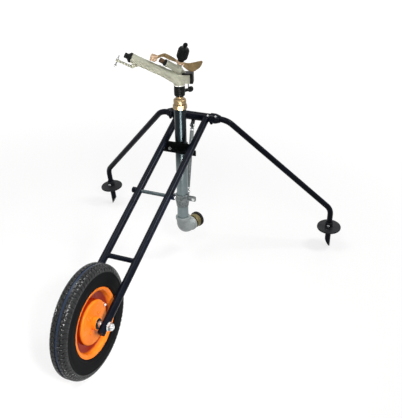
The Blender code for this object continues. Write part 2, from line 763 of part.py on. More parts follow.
def make_low_bar():
    half = RAIL_HALF_SPACING - RAIL_RADIUS * 0.2
    middle = low_bar_point()
    bar = turned("low_cross_bar", rod_outline(LOW_BAR_RADIUS, -half, half), BLACK_PAINT, stand,
                 middle, along_x, steps=14, closed=False)
    for side in (-1, 1):
        bm = bmesh.new()
        across = Vector((side * RAIL_HALF_SPACING, 0, 0))
        reach = rail_along * 4 * RAIL_RADIUS
        sweep(bm, [middle + across - reach, middle + across + reach], RAIL_RADIUS + GAP, count=16,
              side=(1, 0, 0))
        cut(bar, solid(f"cut_low_bar_end_{side}", bm, STEEL, stand))


# A rod through both rails, with a pressed-on cap and a screw head at each end
def make_rod():
    start = RAIL_HALF_SPACING + RAIL_RADIUS + GAP
    end = start + ROD_SLEEVE_LENGTH
    outline = [(0, end + 0.0035), (BOLT_RADIUS, end + 0.0035), (BOLT_RADIUS * 1.6, end + 0.002),
               (BOLT_RADIUS * 1.6, end),
               (ROD_SLEEVE_RADIUS, end), (ROD_SLEEVE_RADIUS, start), (ROD_RADIUS, start)]
    outline += [(radius, -height) for radius, height in reversed(outline)]
    turned("spreader_rod", outline, GALVANISED, stand, on_rail(ROD_HEIGHT), along_x, steps=12,
           closed=False)


def plate_front():
    return -(PIPE_RADIUS + GAP + PLATE_THICKNESS)


# The plate's middle lies this far below the rails' axes, where they pass its front face
def plate_centre():
    share = (plate_front() - axle_point.y) / rail_along.y
    return (axle_point + rail_along * share).z - PLATE_BELOW_RAILS


def strap_ear_end():
    return PIPE_RADIUS + GAP + STRAP_THICKNESS + STRAP_EAR


def strap_bolt_across():
    return strap_ear_end() - STRAP_EAR / 2


def make_riser_plate():
    half = RAIL_HALF_SPACING + RAIL_RADIUS
    centre = plate_centre()
    low, high = centre - PLATE_HEIGHT / 2, centre + PLATE_HEIGHT / 2
    step = RAIL_HALF_SPACING
    outline = [(-half, low), (half, low), (half, centre), (step, centre), (step, high), (-step, high),
               (-step, centre), (-half, centre)]
    riser_plate = plated("riser_plate", outline, plate_front(), plate_front() + PLATE_THICKNESS,
                         BLACK_PAINT, stand)
    for side in (-1, 1):
        bm = bmesh.new()
        across = Vector((side * RAIL_HALF_SPACING, 0, 0))
        sweep(bm, [on_rail(low - PLATE_HEIGHT) + across, on_rail(high + PLATE_HEIGHT) + across],
              RAIL_RADIUS + GAP, count=16, side=(1, 0, 0))
        cut(riser_plate, solid(f"cut_plate_notch_{side}", bm, STEEL, stand))
    cut(riser_plate, strap_holes)


# Seen from above: an arc behind the riser with two straight ears, 0.3 mm behind the plate
def strap_outline():
    inner = PIPE_RADIUS + GAP
    outer = inner + STRAP_THICKNESS
    ear_front = plate_front() + PLATE_THICKNESS + GAP
    ear_back = ear_front + STRAP_THICKNESS
    end = strap_ear_end()
    points = [(-end, ear_front), (-inner, ear_front)]
    points += [(-inner * cos(pi * i / 12), inner * sin(pi * i / 12)) for i in range(13)]
    points += [(inner, ear_front), (end, ear_front), (end, ear_back), (outer, ear_back)]
    points += [(outer * cos(pi * i / 12), outer * sin(pi * i / 12)) for i in range(13)]
    return points + [(-outer, ear_back), (-end, ear_back)]


def strap_centre():
    return plate_centre() - PLATE_HEIGHT * 0.12


def make_strap():
    low = strap_centre() - STRAP_WIDTH / 2
    strap = plated("riser_strap", strap_outline(), low, low + STRAP_WIDTH, BLACK_PAINT, stand,
                   flat_axis="Z")
    cut(strap, strap_holes)


def make_strap_holes():
    bm = bmesh.new()
    for side in (-1, 1):
        place = Matrix.Translation((side * strap_bolt_across(), 0, strap_centre())) @ facing_front()
        spin_outline(bm, rod_outline(around(BOLT_RADIUS + GAP, 8), -0.01, 0.05), 8, False, place)
    return solid("cut_strap_bolt_holes", bm, STEEL, stand)


def facing_front():
    return Matrix.Rotation(pi / 2, 4, "X")


def make_strap_bolts():
    front = -plate_front() + GAP
    grip = PLATE_THICKNESS + STRAP_THICKNESS + 3 * GAP
    for tag, side in (("left", -1), ("right", 1)):
        bm = bmesh.new()
        bolt(bm, BOLT_FLATS, BOLT_HEAD, BOLT_RADIUS, grip, nut_at=grip,
             place=facing_front() @ Matrix.Translation((0, 0, front)))
        solid(f"strap_bolt_{tag}", bm, STEEL, stand, (side * strap_bolt_across(), 0, strap_centre()))


# Leg sockets
def screw_place(x):
    lean = Matrix.Rotation(radians(SCREW_ANGLE), 4, "X")
    return Matrix.Translation(cross_point) @ Matrix.Translation((x, 0, 0)) @ lean


# Each locking screw: its place along X and the radius of the surface that its head sits on
def screw_spots():
    inner = CROSS_HALF_LENGTH - 0.0150
    outer = SOCKET_SHOULDER - 0.0045
    return [(side * x, seat) for side in (-1, 1) for x, seat in ((inner, CROSS_RADIUS),
                                                                 (outer, SOCKET_RADIUS))]


def locking_screws(owner, spots):
    bm = bmesh.new()
    for x, seat in spots:
        place = screw_place(x) @ Matrix.Translation((0, 0, seat - 0.0004))
        bolt(bm, SCREW_FLATS, BOLT_HEAD * 0.8, BOLT_RADIUS, seat - 0.0004 - LEG_RADIUS - GAP, place=place)
    return solid(f"add_{owner}_screws", bm, STEEL, stand)


def lug_centre():
    return Vector((0, -(SOCKET_RADIUS + SOCKET_LUG_DEPTH / 2 - 0.003), SOCKET_LUG_RISE))


def pinch_across():
    return (SOCKET_START + SOCKET_SHOULDER) / 2 - 0.0015


def make_sockets():
    cross_bore = CROSS_RADIUS + GAP
    leg_bore = LEG_RADIUS + RUN
    step = CROSS_HALF_LENGTH + GAP
    outline = [(cross_bore, SOCKET_START), (SOCKET_RADIUS - 0.0015, SOCKET_START),
               (SOCKET_RADIUS, SOCKET_START + 0.0015), (SOCKET_RADIUS, SOCKET_SHOULDER),
               (SOCKET_TIP_RADIUS, SOCKET_END), (leg_bore, SOCKET_END), (leg_bore, step),
               (cross_bore, step)]
    half = Vector((SOCKET_LUG_WIDTH, SOCKET_LUG_DEPTH, SOCKET_LUG_HEIGHT)) / 2
    grip = SOCKET_LUG_HEIGHT + 2 * GAP
    for tag, side, screws in (("left", -1, screw_spots()[1:2]), ("right", 1, screw_spots()[3:])):
        turn = Matrix.Rotation(side * pi / 2, 3, "Y").to_quaternion()
        socket = turned(f"leg_socket_{tag}", outline, BLACK_PAINT, stand, cross_point, turn, steps=24)
        centre = cross_point + lug_centre() + Vector((side * pinch_across(), 0, 0))
        join(socket, boxed(f"add_socket_lug_{tag}", -half, half, BLACK_PAINT, stand, centre))
        join(socket, locking_screws(f"leg_socket_{tag}", screws))
        place = centre + Vector((0, -half.y / 3, 0))
        cut(socket, turned(f"cut_pinch_hole_{tag}", rod_outline(around(BOLT_RADIUS + GAP, 8), -0.03, 0.03),
                           STEEL, stand,
                           place, steps=8, closed=False))
        bm = bmesh.new()
        bolt(bm, BOLT_FLATS, BOLT_HEAD, BOLT_RADIUS, grip, nut_at=grip,
             place=Matrix.Translation((0, 0, grip / 2)))
        solid(f"pinch_bolt_{tag}", bm, STEEL, stand, place)


# Legs
def make_leg(name, side):
    flip = Vector((side, 1, 1))
    fall = foot_fall * flip
    outward = (Vector((side, 0, 0)) - side * fall.x * fall).normalized()
    end_height = -LEG_RADIUS * outward.z
    knee = knee_point * flip
    end = knee + fall * ((end_height - knee.z) / fall.z)
    stub = cross_point + Vector((side * (CROSS_HALF_LENGTH - LEG_STUB_INSERT), 0, 0))
    bend = cross_point + Vector((side * LEG_BEND_OUT, 0, 0))
    path = rounded([stub, bend, knee, end], LEG_BEND_RADIUS, steps=5)
    bm = bmesh.new()
    sweep(bm, path, LEG_RADIUS, LEG_RADIUS - LEG_WALL, count=12, side=(0, 1, 0))
    leg = solid(name, bm, BLACK_PAINT, stand)
    tip = end + outward * LEG_RADIUS
    normal = (outward * -cos(radians(SPIKE_CUT_ANGLE)) + fall * sin(radians(SPIKE_CUT_ANGLE))).normalized()
    wedge = bmesh.new()
    box(wedge, (-0.05, -0.05, 0), (0.05, 0.05, 0.1))
    cut(leg, solid(f"cut_{name}_spike", wedge, STEEL, stand, tip, pointing(normal)))


def foot_frame(side):
    flip = Vector((side, 1, 1))
    up = -(foot_fall * flip)
    across = (Vector((1, 0, 0)) - up.x * up).normalized()
    turn = Matrix((across, up.cross(across), up)).transposed()
    return foot_point * flip, turn.to_quaternion()


def make_foot(tag, side):
    place, turn = foot_frame(side)
    bore = around(LEG_RADIUS + GAP, 24)
    half = FOOT_THICKNESS / 2
    outline = [(bore, FOOT_COLLAR_HEIGHT), (FOOT_COLLAR_RADIUS, FOOT_COLLAR_HEIGHT),
               (FOOT_COLLAR_RADIUS, half),
               (FOOT_RADIUS - 0.0015, half), (FOOT_RADIUS, half - 0.0015), (FOOT_RADIUS, -FOOT_LIP),
               (FOOT_RADIUS - 0.002, -FOOT_LIP), (FOOT_RADIUS - 0.002, -half), (bore, -half)]
    foot = turned(f"foot_{tag}", outline, BLACK_PAINT, stand, place, turn, steps=24)
    bm = bmesh.new()
    seat = FOOT_COLLAR_RADIUS - 0.0004
    spot = Matrix.Translation((0, 0, FOOT_BOLT_HEIGHT)) @ facing_front() @ Matrix.Translation((0, 0, seat))
    bolt(bm, BOLT_FLATS, BOLT_HEAD, BOLT_RADIUS, seat - LEG_RADIUS - GAP, place=spot)
    join(foot, solid(f"add_foot_{tag}_bolt", bm, STEEL, stand, place, turn))


# Stay and its two forks
def stay_ends():
    top = Vector((0, STAY_TOP_BACK, CROSS_HEIGHT - STAY_TOP_DROP))
    foot = Vector((0, STAY_FOOT_BACK, (SADDLE_TOP + SADDLE_BOTTOM) / 2))
    return top, foot


def fork_gap():
    return STAY_TAB / 2 + GAP


def make_stay():
    top, foot = stay_ends()
    up = (top - foot).normalized()
    length = (top - foot).length
    turn = pointing(up)
    bm = bmesh.new()
    reach = STAY_TAB_LENGTH * 0.75
    box(bm, (-STAY_TAB / 2, -STAY_TAB_WIDTH / 2, -0.007), (STAY_TAB / 2, STAY_TAB_WIDTH / 2,
                                                           reach + 0.006))
    box(bm, (-STAY_TAB / 2, -STAY_TAB_WIDTH / 2, length - reach - 0.006),
        (STAY_TAB / 2, STAY_TAB_WIDTH / 2, length + 0.007))
    tabs = solid("add_stay_tabs", bm, GALVANISED, stand, foot, turn)
    rod = turned("stay_tube", rod_outline(STAY_RADIUS, reach, length - reach), GALVANISED, stand, foot,
                 turn,
                 steps=12, closed=False)
    join(rod, tabs)
    holes = bmesh.new()
    across = Matrix.Rotation(pi / 2, 4, "Y")
    for height in (0, length):
        spin_outline(holes, rod_outline(around(BOLT_RADIUS + GAP, 8), -0.02, 0.02), 8, False,
                     Matrix.Translation((0, 0, height)) @ across)
    holes = solid("cut_stay_bolt_holes", holes, STEEL, stand, foot, turn)
    bolts = bmesh.new()
    fork = fork_gap() + FORK_THICKNESS + GAP
    for height in (0, length):
        bolt(bolts, BOLT_FLATS, BOLT_HEAD, BOLT_RADIUS, 2 * fork, nut_at=2 * fork,
             place=Matrix.Translation((0, 0, height)) @ across @ Matrix.Translation((0, 0, fork)))
    join(rod, solid("add_stay_bolts", bolts, STEEL, stand, foot, turn))

    bracket = bmesh.new()
    inner, outer = fork_gap(), fork_gap() + FORK_THICKNESS
    top_z = CROSS_HEIGHT
    outline = [(top.y - FORK_WIDTH / 2, top.z), (top.y - FORK_WIDTH / 4, top.z - FORK_WIDTH / 2),
               (top.y + FORK_WIDTH / 4, top.z - FORK_WIDTH / 2), (top.y + FORK_WIDTH / 2, top.z),
               (CROSS_BACK + FORK_WIDTH / 2, top_z), (CROSS_BACK - FORK_WIDTH / 2, top_z)]
    for low, high in ((inner, outer), (-outer, -inner)):
        cheek(bracket, outline, low, high)
    bridge = CROSS_HEIGHT - CROSS_RADIUS - 0.0035
    box(bracket, (-inner - 0.001, CROSS_BACK - FORK_WIDTH / 2 + 0.001, bridge),
        (inner + 0.001, CROSS_BACK + FORK_WIDTH / 2 - 0.001, CROSS_HEIGHT))
    weld_parts("stay_bracket", bracket, BLACK_PAINT,
               [turned("cut_bracket_seat", rod_outline(CROSS_RADIUS + GAP, -0.02, 0.02), STEEL, stand,
                       cross_point,
                       along_x, steps=24, closed=False), holes])

    return holes


# A plate in the Y-Z plane between two places on X
def cheek(bm, outline, low, high):
    face = bm.faces.new([bm.verts.new((low, y, z)) for y, z in outline])
    made = bmesh.ops.extrude_face_region(bm, geom=[face])
    side = [part for part in made["geom"] if isinstance(part, bmesh.types.BMVert)]
    bmesh.ops.translate(bm, verts=side, vec=(high - low, 0, 0))


# Unites the overlapping plates of one welded piece with a self union, then cuts it
def weld_parts(name, bm, look, cutters):
    made = solid(name, bm, look, stand)
    seed = bmesh.new()
    box(seed, (-0.0005, CROSS_BACK - 0.001, CROSS_HEIGHT - CROSS_RADIUS - 0.003),
        (0.0005, CROSS_BACK + 0.001, CROSS_HEIGHT - CROSS_RADIUS - 0.001))
    join(made, solid(f"add_{name}_core", seed, look, stand))
    made.modifiers[-1].use_self = True
    for tool in cutters:
        cut(made, tool)


# Saddle clamp
def make_saddle(stay_holes):
    bore = PIPE_RADIUS + GAP
    skirt_end = SADDLE_BOTTOM - SADDLE_SKIRT
    outline = [(bore, SADDLE_TOP), (SADDLE_RADIUS - 0.001, SADDLE_TOP),
               (SADDLE_RADIUS, SADDLE_TOP - 0.001),
               (SADDLE_RADIUS, SADDLE_BOTTOM), (bore + 0.0012, skirt_end), (bore, skirt_end)]
    middle = (SADDLE_TOP + SADDLE_BOTTOM) / 2
    low, high = middle - SADDLE_EAR_HEIGHT / 2, middle + SADDLE_EAR_HEIGHT / 2
    spots = (-(SADDLE_EAR_SHORT - SADDLE_BOLT_INSET), SADDLE_EAR_LONG - SADDLE_BOLT_INSET)
    holes = bmesh.new()
    for x in spots:
        spin_outline(holes, rod_outline(around(BOLT_RADIUS + GAP, 8), -0.03, 0.03), 8, False,
                     Matrix.Translation((x, 0, middle)) @ facing_front())
    holes = solid("cut_saddle_bolt_holes", holes, STEEL, stand)
    pipe = turned("cut_saddle_bore", rod_outline(bore, skirt_end - 0.01, SADDLE_TOP + 0.01), STEEL, stand,
                  steps=PIPE_STEPS, closed=False)
    for name, side in (("saddle_front", -1), ("saddle_back", 1)):
        half = turned(name, outline, GALVANISED, stand, steps=PIPE_STEPS)
        ears = bmesh.new()
        near, far = sorted((side * SADDLE_SPLIT / 2, side * (SADDLE_SPLIT / 2 + SADDLE_EAR_THICKNESS)))
        box(ears, (-SADDLE_EAR_SHORT, near, low), (SADDLE_EAR_LONG, far, high))
        join(half, solid(f"add_{name}_ears", ears, GALVANISED, stand))
        if side == 1:
            _, foot = stay_ends()
            lugs = bmesh.new()
            inner, outer = fork_gap(), fork_gap() + FORK_THICKNESS
            tall = FORK_WIDTH / 2
            lug = [(bore + 0.001, foot.z - tall), (foot.y, foot.z - tall),
                   (foot.y + tall, foot.z - tall / 2),
                   (foot.y + tall, foot.z + tall / 2), (foot.y, foot.z + tall),
                   (bore + 0.001, foot.z + tall)]
            cheek(lugs, lug, inner, outer)
            cheek(lugs, lug, -outer, -inner)
            join(half, solid("add_saddle_lugs", lugs, GALVANISED, stand))
            cut(half, stay_holes)
        away = bmesh.new()
        back, front = sorted((side * SADDLE_SPLIT / 2, -side * 0.1))
        box(away, (-0.1, back, skirt_end - 0.02), (0.1, front, SADDLE_TOP + 0.02))
        cut(half, solid(f"cut_{name}_split", away, STEEL, stand))
        cut(half, pipe)
        cut(half, holes)
    face = SADDLE_SPLIT / 2 + SADDLE_EAR_THICKNESS + GAP
    for tag, x in zip(("left", "right"), spots):
        bm = bmesh.new()
        bolt(bm, BOLT_FLATS, BOLT_HEAD, BOLT_RADIUS, 2 * face, nut_at=2 * face,
             place=facing_front() @ Matrix.Translation((0, 0, face)))
        solid(f"saddle_bolt_{tag}", bm, STEEL, stand, (x, 0, middle))


# Riser, elbow and coupling
def make_riser():
    bottom = ELBOW_CENTRE + ELBOW_REACH - SOCKET_DEPTH + GAP
    turned("riser_pipe", tube_outline(PIPE_RADIUS - PIPE_WALL, PIPE_RADIUS, bottom, PIPE_TOP), GALVANISED,
           stand,
           steps=PIPE_STEPS)


def elbow_path(reach):
    ahead = Vector((sin(radians(OUTLET_TURN)), cos(radians(OUTLET_TURN)), 0))
    centre = Vector((0, 0, ELBOW_CENTRE))
    return centre + Vector((0, 0, reach)), centre, centre + ahead * reach


def make_elbow():
    start, centre, end = elbow_path(ELBOW_REACH)
    path = rounded([start, centre, end], ELBOW_BEND, steps=6)
    band = [0, ELBOW_BAND_WIDTH - 0.0015, ELBOW_BAND_WIDTH]
    down, out = (centre - start).normalized(), (end - centre).normalized()
    top = [start + down * depth for depth in band]
    tail = [end - out * depth for depth in reversed(band)]
    sizes = [ELBOW_BAND_RADIUS, ELBOW_BAND_RADIUS, ELBOW_RADIUS]
    points = top + path[1:-1] + tail
    radii = sizes + [ELBOW_RADIUS] * (len(path) - 2) + sizes[::-1]
    side = down.cross(out)
    bm = bmesh.new()
    sweep(bm, points, radii, count=20, side=side)
    elbow = solid("elbow", bm, GALVANISED, stand)
    bore = bmesh.new()
    far_start, _, far_end = elbow_path(ELBOW_REACH + 0.01)
    sweep(bore, rounded([far_start, centre, far_end], ELBOW_BEND, steps=5), ELBOW_BORE, count=16,
          side=side)
    bore = solid("cut_elbow_bore", bore, STEEL, stand)
    seat = PIPE_RADIUS + GAP
    low = ELBOW_REACH - SOCKET_DEPTH
    join(bore, turned("cut_elbow_top_socket", rod_outline(seat, ELBOW_CENTRE + low,
                                                          ELBOW_CENTRE + ELBOW_REACH + 0.012),
                      STEEL, stand, steps=PIPE_STEPS, closed=False))
    join(bore, turned("cut_elbow_side_socket", rod_outline(seat, low, ELBOW_REACH + 0.012), STEEL, outlet,
                      steps=PIPE_STEPS, closed=False))
    cut(elbow, bore)


def make_coupling():
    face = ELBOW_REACH + GAP
    collar_end = face + TAIL_COLLAR_WIDTH
    tail_end = face + TAIL_LENGTH
    flange = tail_end - TAIL_FLANGE_WIDTH
    spigot = ELBOW_REACH - SOCKET_DEPTH + GAP
    outline = [(TAIL_BORE, spigot), (PIPE_RADIUS, spigot), (PIPE_RADIUS, face), (TAIL_COLLAR_RADIUS, face),
               (TAIL_COLLAR_RADIUS, collar_end), (TAIL_RADIUS, collar_end), (TAIL_RADIUS, flange),
               (TAIL_FLANGE_RADIUS, flange), (TAIL_FLANGE_RADIUS, tail_end), (TAIL_BORE, tail_end)]
    turned("coupling_tail", outline, BRASS, outlet, steps=24)
    start = ELBOW_REACH + COUPLING_START
    end = start + COUPLING_LENGTH
    cavity = TAIL_FLANGE_RADIUS + RUN
    outline = [(TAIL_RADIUS + RUN, start), (COUPLING_RADIUS - 0.002, start),
               (COUPLING_RADIUS, start + 0.002),
               (COUPLING_RADIUS, end), (cavity, end), (cavity, start + COUPLING_LIP),
               (TAIL_RADIUS + RUN, start + COUPLING_LIP)]
    turned("coupling_nut", outline, BRASS, outlet, steps=24)
    seat = COUPLING_RADIUS + GAP
    low = end - GUARD_WIDTH
    outline = [(seat, low), (GUARD_RADIUS, low), (GUARD_RADIUS, end), (seat, end)]
    turned("coupling_guard", outline, RUBBER, outlet, steps=24)


def make_adaptor():
    pipe_seat = around(PIPE_RADIUS + GAP, 24)
    ledge = PIPE_TOP + GAP
    rings = [hexagon(ADAPTOR_FLATS, ADAPTOR_BOTTOM, 24), hexagon(ADAPTOR_FLATS, ADAPTOR_TOP, 24),
             circle(NIPPLE_BORE, ADAPTOR_TOP, 24), circle(NIPPLE_BORE, ledge, 24),
             circle(pipe_seat, ledge, 24),
             circle(pipe_seat, ADAPTOR_BOTTOM, 24)]
    rings[2:] = [[Matrix.Rotation(pi / 6, 3, "Z") @ spot for spot in ring] for ring in rings[2:]]
    bm = bmesh.new()
    skin(bm, rings, ring_closed=True)
    solid("riser_adaptor", bm, BRASS, stand)
    low = ADAPTOR_TOP + GAP
    top = SLEEVE_TOP - SLEEVE_LIP - GAP
    outline = [(NIPPLE_BORE, low), (COLLAR_RADIUS - 0.002, low), (COLLAR_RADIUS - 0.002, low + 0.002),
               (COLLAR_RADIUS, low + 0.0032), (COLLAR_RADIUS, COLLAR_TOP - 0.003),
               (COLLAR_RADIUS - 0.003, COLLAR_TOP), (NIPPLE_RADIUS, COLLAR_TOP), (NIPPLE_RADIUS, top),
               (NIPPLE_BORE, top)]
    turned("bearing_nipple", outline, BRASS, stand, steps=20)


def make_sleeve():
    bottom_bore = NIPPLE_RADIUS + GAP
    cavity = SLEEVE_NECK_RADIUS - SLEEVE_WALL
    lip_bore = INLET_RADIUS + RUN
    lip = SLEEVE_TOP - SLEEVE_LIP
    outline = [(bottom_bore, SLEEVE_BOTTOM), (SLEEVE_RADIUS - 0.004, SLEEVE_BOTTOM),
               (SLEEVE_RADIUS, SLEEVE_BOTTOM + 0.0045), (SLEEVE_RADIUS, TRIP_BOTTOM),
               (SLEEVE_NECK_RADIUS, TRIP_BOTTOM), (SLEEVE_NECK_RADIUS, TRIP_TOP),
               (SLEEVE_RADIUS, TRIP_TOP),
               (SLEEVE_RADIUS, SLEEVE_TOP), (lip_bore, SLEEVE_TOP), (lip_bore, lip), (cavity, lip),
               (cavity, SLEEVE_BOTTOM + 0.0045), (bottom_bore, SLEEVE_BOTTOM + 0.0045)]
    turned("bearing_sleeve", outline, BLACK_PLASTIC, stand, steps=20)
    bm = bmesh.new()
    radius = around(NIPPLE_RADIUS + GAP + SPRING_WIRE / 2, 16)
    coil(bm, radius, SPRING_WIRE, SLEEVE_BOTTOM + 0.0045 + GAP + SPRING_WIRE / 2,
         lip - GAP - SPRING_WIRE / 2,
         SPRING_TURNS, count=16, sides=4)
    solid("bearing_spring", bm, STEEL, stand)


def make_trip_collars():
    middle = (TRIP_BOTTOM + TRIP_TOP) / 2
    inner = around(SLEEVE_NECK_RADIUS + RUN, 20)
    outer = inner + TRIP_WALL
    spans = (("trip_collar_lower", TRIP_BOTTOM + GAP, middle - GAP / 2, LOWER_LUG_AZIMUTH),
             ("trip_collar_upper", middle + GAP / 2, TRIP_TOP - GAP, UPPER_LUG_AZIMUTH))
    for name, low, high, azimuth in spans:
        turn = Matrix.Rotation(radians(azimuth), 3, "Z").to_quaternion()
        collar = turned(name, tube_outline(inner, outer, low, high), BLACK_PLASTIC, stand, rotation=turn,
                        steps=20)
        bm = bmesh.new()
        box(bm, ((inner + outer) / 2, -LUG_WIDTH / 2, low + 0.0004),
            (LUG_REACH, LUG_WIDTH / 2, high - 0.0004))
        join(collar, solid(f"add_{name}_lug", bm, BLACK_PLASTIC, stand, rotation=turn))
    low, high = spans[0][1:3]
    height = (low + high) / 2
    azimuth = radians(LOWER_LUG_AZIMUTH)
    outwards = Vector((cos(azimuth), sin(azimuth), 0))
    start = LUG_REACH + GAP
    wing_centre = start + THUMB_SHANK_LENGTH + THUMB_WING_RADIUS - 0.0006
    bm = bmesh.new()
    spin_outline(bm, rod_outline(THUMB_SHANK_RADIUS, start, start + THUMB_SHANK_LENGTH), 12, False,
                 pointing(outwards).to_matrix().to_4x4())
    screw = solid("trip_thumb_screw", bm, BLACK_PLASTIC, stand, (0, 0, height))
    wing = bmesh.new()
    across = Vector((-outwards.y, outwards.x, 0))
    half = THUMB_WING_THICKNESS / 2
    outline = [(0, half), (THUMB_WING_RADIUS * 0.55, half * 0.55), (THUMB_WING_RADIUS * 0.75, half),
               (THUMB_WING_RADIUS, half * 0.5), (THUMB_WING_RADIUS, -half * 0.5),
               (THUMB_WING_RADIUS * 0.75, -half), (THUMB_WING_RADIUS * 0.55, -half * 0.55), (0, -half)]
    spin_outline(wing, outline, 12, False, Matrix.Translation(outwards * wing_centre)
                 @ pointing(across).to_matrix().to_4x4())
    join(screw, solid("add_thumb_wing", wing, BLACK_PLASTIC, stand, (0, 0, height)))


# Cast body of the head
def barrel_point(along, above=0.0):
    rise = radians(BARREL_RISE)
    return Vector((along * cos(rise) - above * sin(rise), 0,
                   BARREL_CENTRE + along * sin(rise) + above * cos(rise)))


def arm_point(ahead, above):
    tilt = radians(PIVOT_TILT)
    return Vector((PIVOT_X + ahead * cos(tilt) - above * sin(tilt), 0,
                   PIVOT_Z + ahead * sin(tilt) + above * cos(tilt)))


def cast_path(start_height, end_along):
    corners = [Vector((0, 0, start_height)), Vector((0, 0, BARREL_CENTRE)), barrel_point(end_along)]
    return rounded(corners, CAST_BEND, steps=6)


def make_cast_body():
    path = cast_path(CAST_BOTTOM, BARREL_LENGTH)
    bend_end = path[-2]
    along = (bend_end - Vector((0, 0, BARREL_CENTRE))).length
    collar = BARREL_LENGTH - BARREL_END_LENGTH
    extra = [(0.036, INLET_CUP_RADIUS * 0.88), (0.058, BARREL_RADIUS), (collar - 0.003, BARREL_RADIUS),
             (collar, BARREL_END_RADIUS)]
    extra = [(spot, size) for spot, size in extra if spot > along + 0.002]
    points = path[:-1] + [barrel_point(spot) for spot, _ in extra] + [path[-1]]
    radii = [INLET_CUP_RADIUS - 0.0012] + [INLET_CUP_RADIUS] * (len(path) - 2)
    radii += [size for _, size in extra] + [BARREL_END_RADIUS]
    bm = bmesh.new()
    sweep(bm, points, radii, count=20, side=(0, 1, 0))
    body = solid("head_body", bm, CASTING, head)
    for tool in (cast_spreader(), cast_web(), cast_box(), cast_bracket(), cast_pivot_boss()):
        join(body, tool)
    for tool in cast_cutters():
        cut(body, tool)


def spreader_place():
    turn = Matrix.Rotation(-radians(SPREADER_RISE), 4, "Y")
    return Matrix.Translation((SPREADER_START, 0, SPREADER_OFFSET)) @ turn @ Matrix.Rotation(pi / 2, 4,
                                                                                             "Y")


def cast_spreader():
    bm = bmesh.new()
    spin_outline(bm, rod_outline(SPREADER_RADIUS, -0.020, SPREADER_LENGTH), 18, False, spreader_place())
    return solid("add_spreader_tube", bm, CASTING, barrel)


# Rib between the elbow, the spreader tube and the pivot boss, seen from the side
def cast_web():
    low = BOX_TOP - 0.006
    boss = arm_point(-PIVOT_BOSS_RADIUS * 0.6, -ARM_BOSS_BELOW - PIVOT_BOSS_HEIGHT * 0.55)
    fore = arm_point(PIVOT_BOSS_RADIUS * 0.6, -ARM_BOSS_BELOW - PIVOT_BOSS_HEIGHT * 0.45)
    outline = [(-BOX_BACK * 0.62, low), (-BOX_BACK * 0.62, BOX_TOP), (boss.x, boss.z), (fore.x, fore.z),
               (barrel_point(SPREADER_START + 0.006, SPREADER_OFFSET).x,
                barrel_point(SPREADER_START, SPREADER_OFFSET).z),
               (barrel_point(SPREADER_START + 0.020, 0).x, barrel_point(SPREADER_START + 0.020, 0).z)]
    bm = bmesh.new()
    plate(bm, outline, -WEB_THICKNESS / 2, WEB_THICKNESS / 2)
    return solid("add_pivot_web", bm, CASTING, head)


def cast_box():
    bm = bmesh.new()
    box(bm, (-BOX_BACK, -BOX_HALF_WIDTH, BOX_BOTTOM), (BOX_FRONT, BOX_HALF_WIDTH, BOX_TOP))
    return solid("add_trip_housing", bm, CASTING, head)


# The bracket is measured from the end of the barrel
def bracket_root():
    return BARREL_LENGTH - BRACKET_SETBACK


def bracket_reach():
    return BARREL_LENGTH + BRACKET_OVERHANG


def cast_bracket():
    top = -BRACKET_DROP + BRACKET_HEIGHT / 2
    low = -BRACKET_DROP - BRACKET_HEIGHT / 2
    root, reach = bracket_root(), bracket_reach()
    outline = [(root, -BARREL_RADIUS * 0.75), (root + 0.020, low), (reach, low), (reach, top),
               (root + 0.028, top), (root + 0.022, -BARREL_RADIUS * 0.75)]
    bm = bmesh.new()
    plate(bm, outline, -BRACKET_THICKNESS / 2, BRACKET_THICKNESS / 2)
    arm_bar = solid("add_bracket", bm, CASTING, barrel)
    boss = turned("add_bracket_boss", rod_outline(BRACKET_BOSS_RADIUS, low - 0.001, top + 0.001), CASTING,
                  barrel,
                  (bracket_reach(), 0, 0), steps=16, closed=False)
    join(arm_bar, boss)
    return arm_bar


def cast_pivot_boss():
    top = -ARM_BOSS_BELOW - GAP
    return turned("add_pivot_boss", rod_outline(PIVOT_BOSS_RADIUS, top - PIVOT_BOSS_HEIGHT, top), CASTING,
                  arm,
                  steps=20, closed=False)


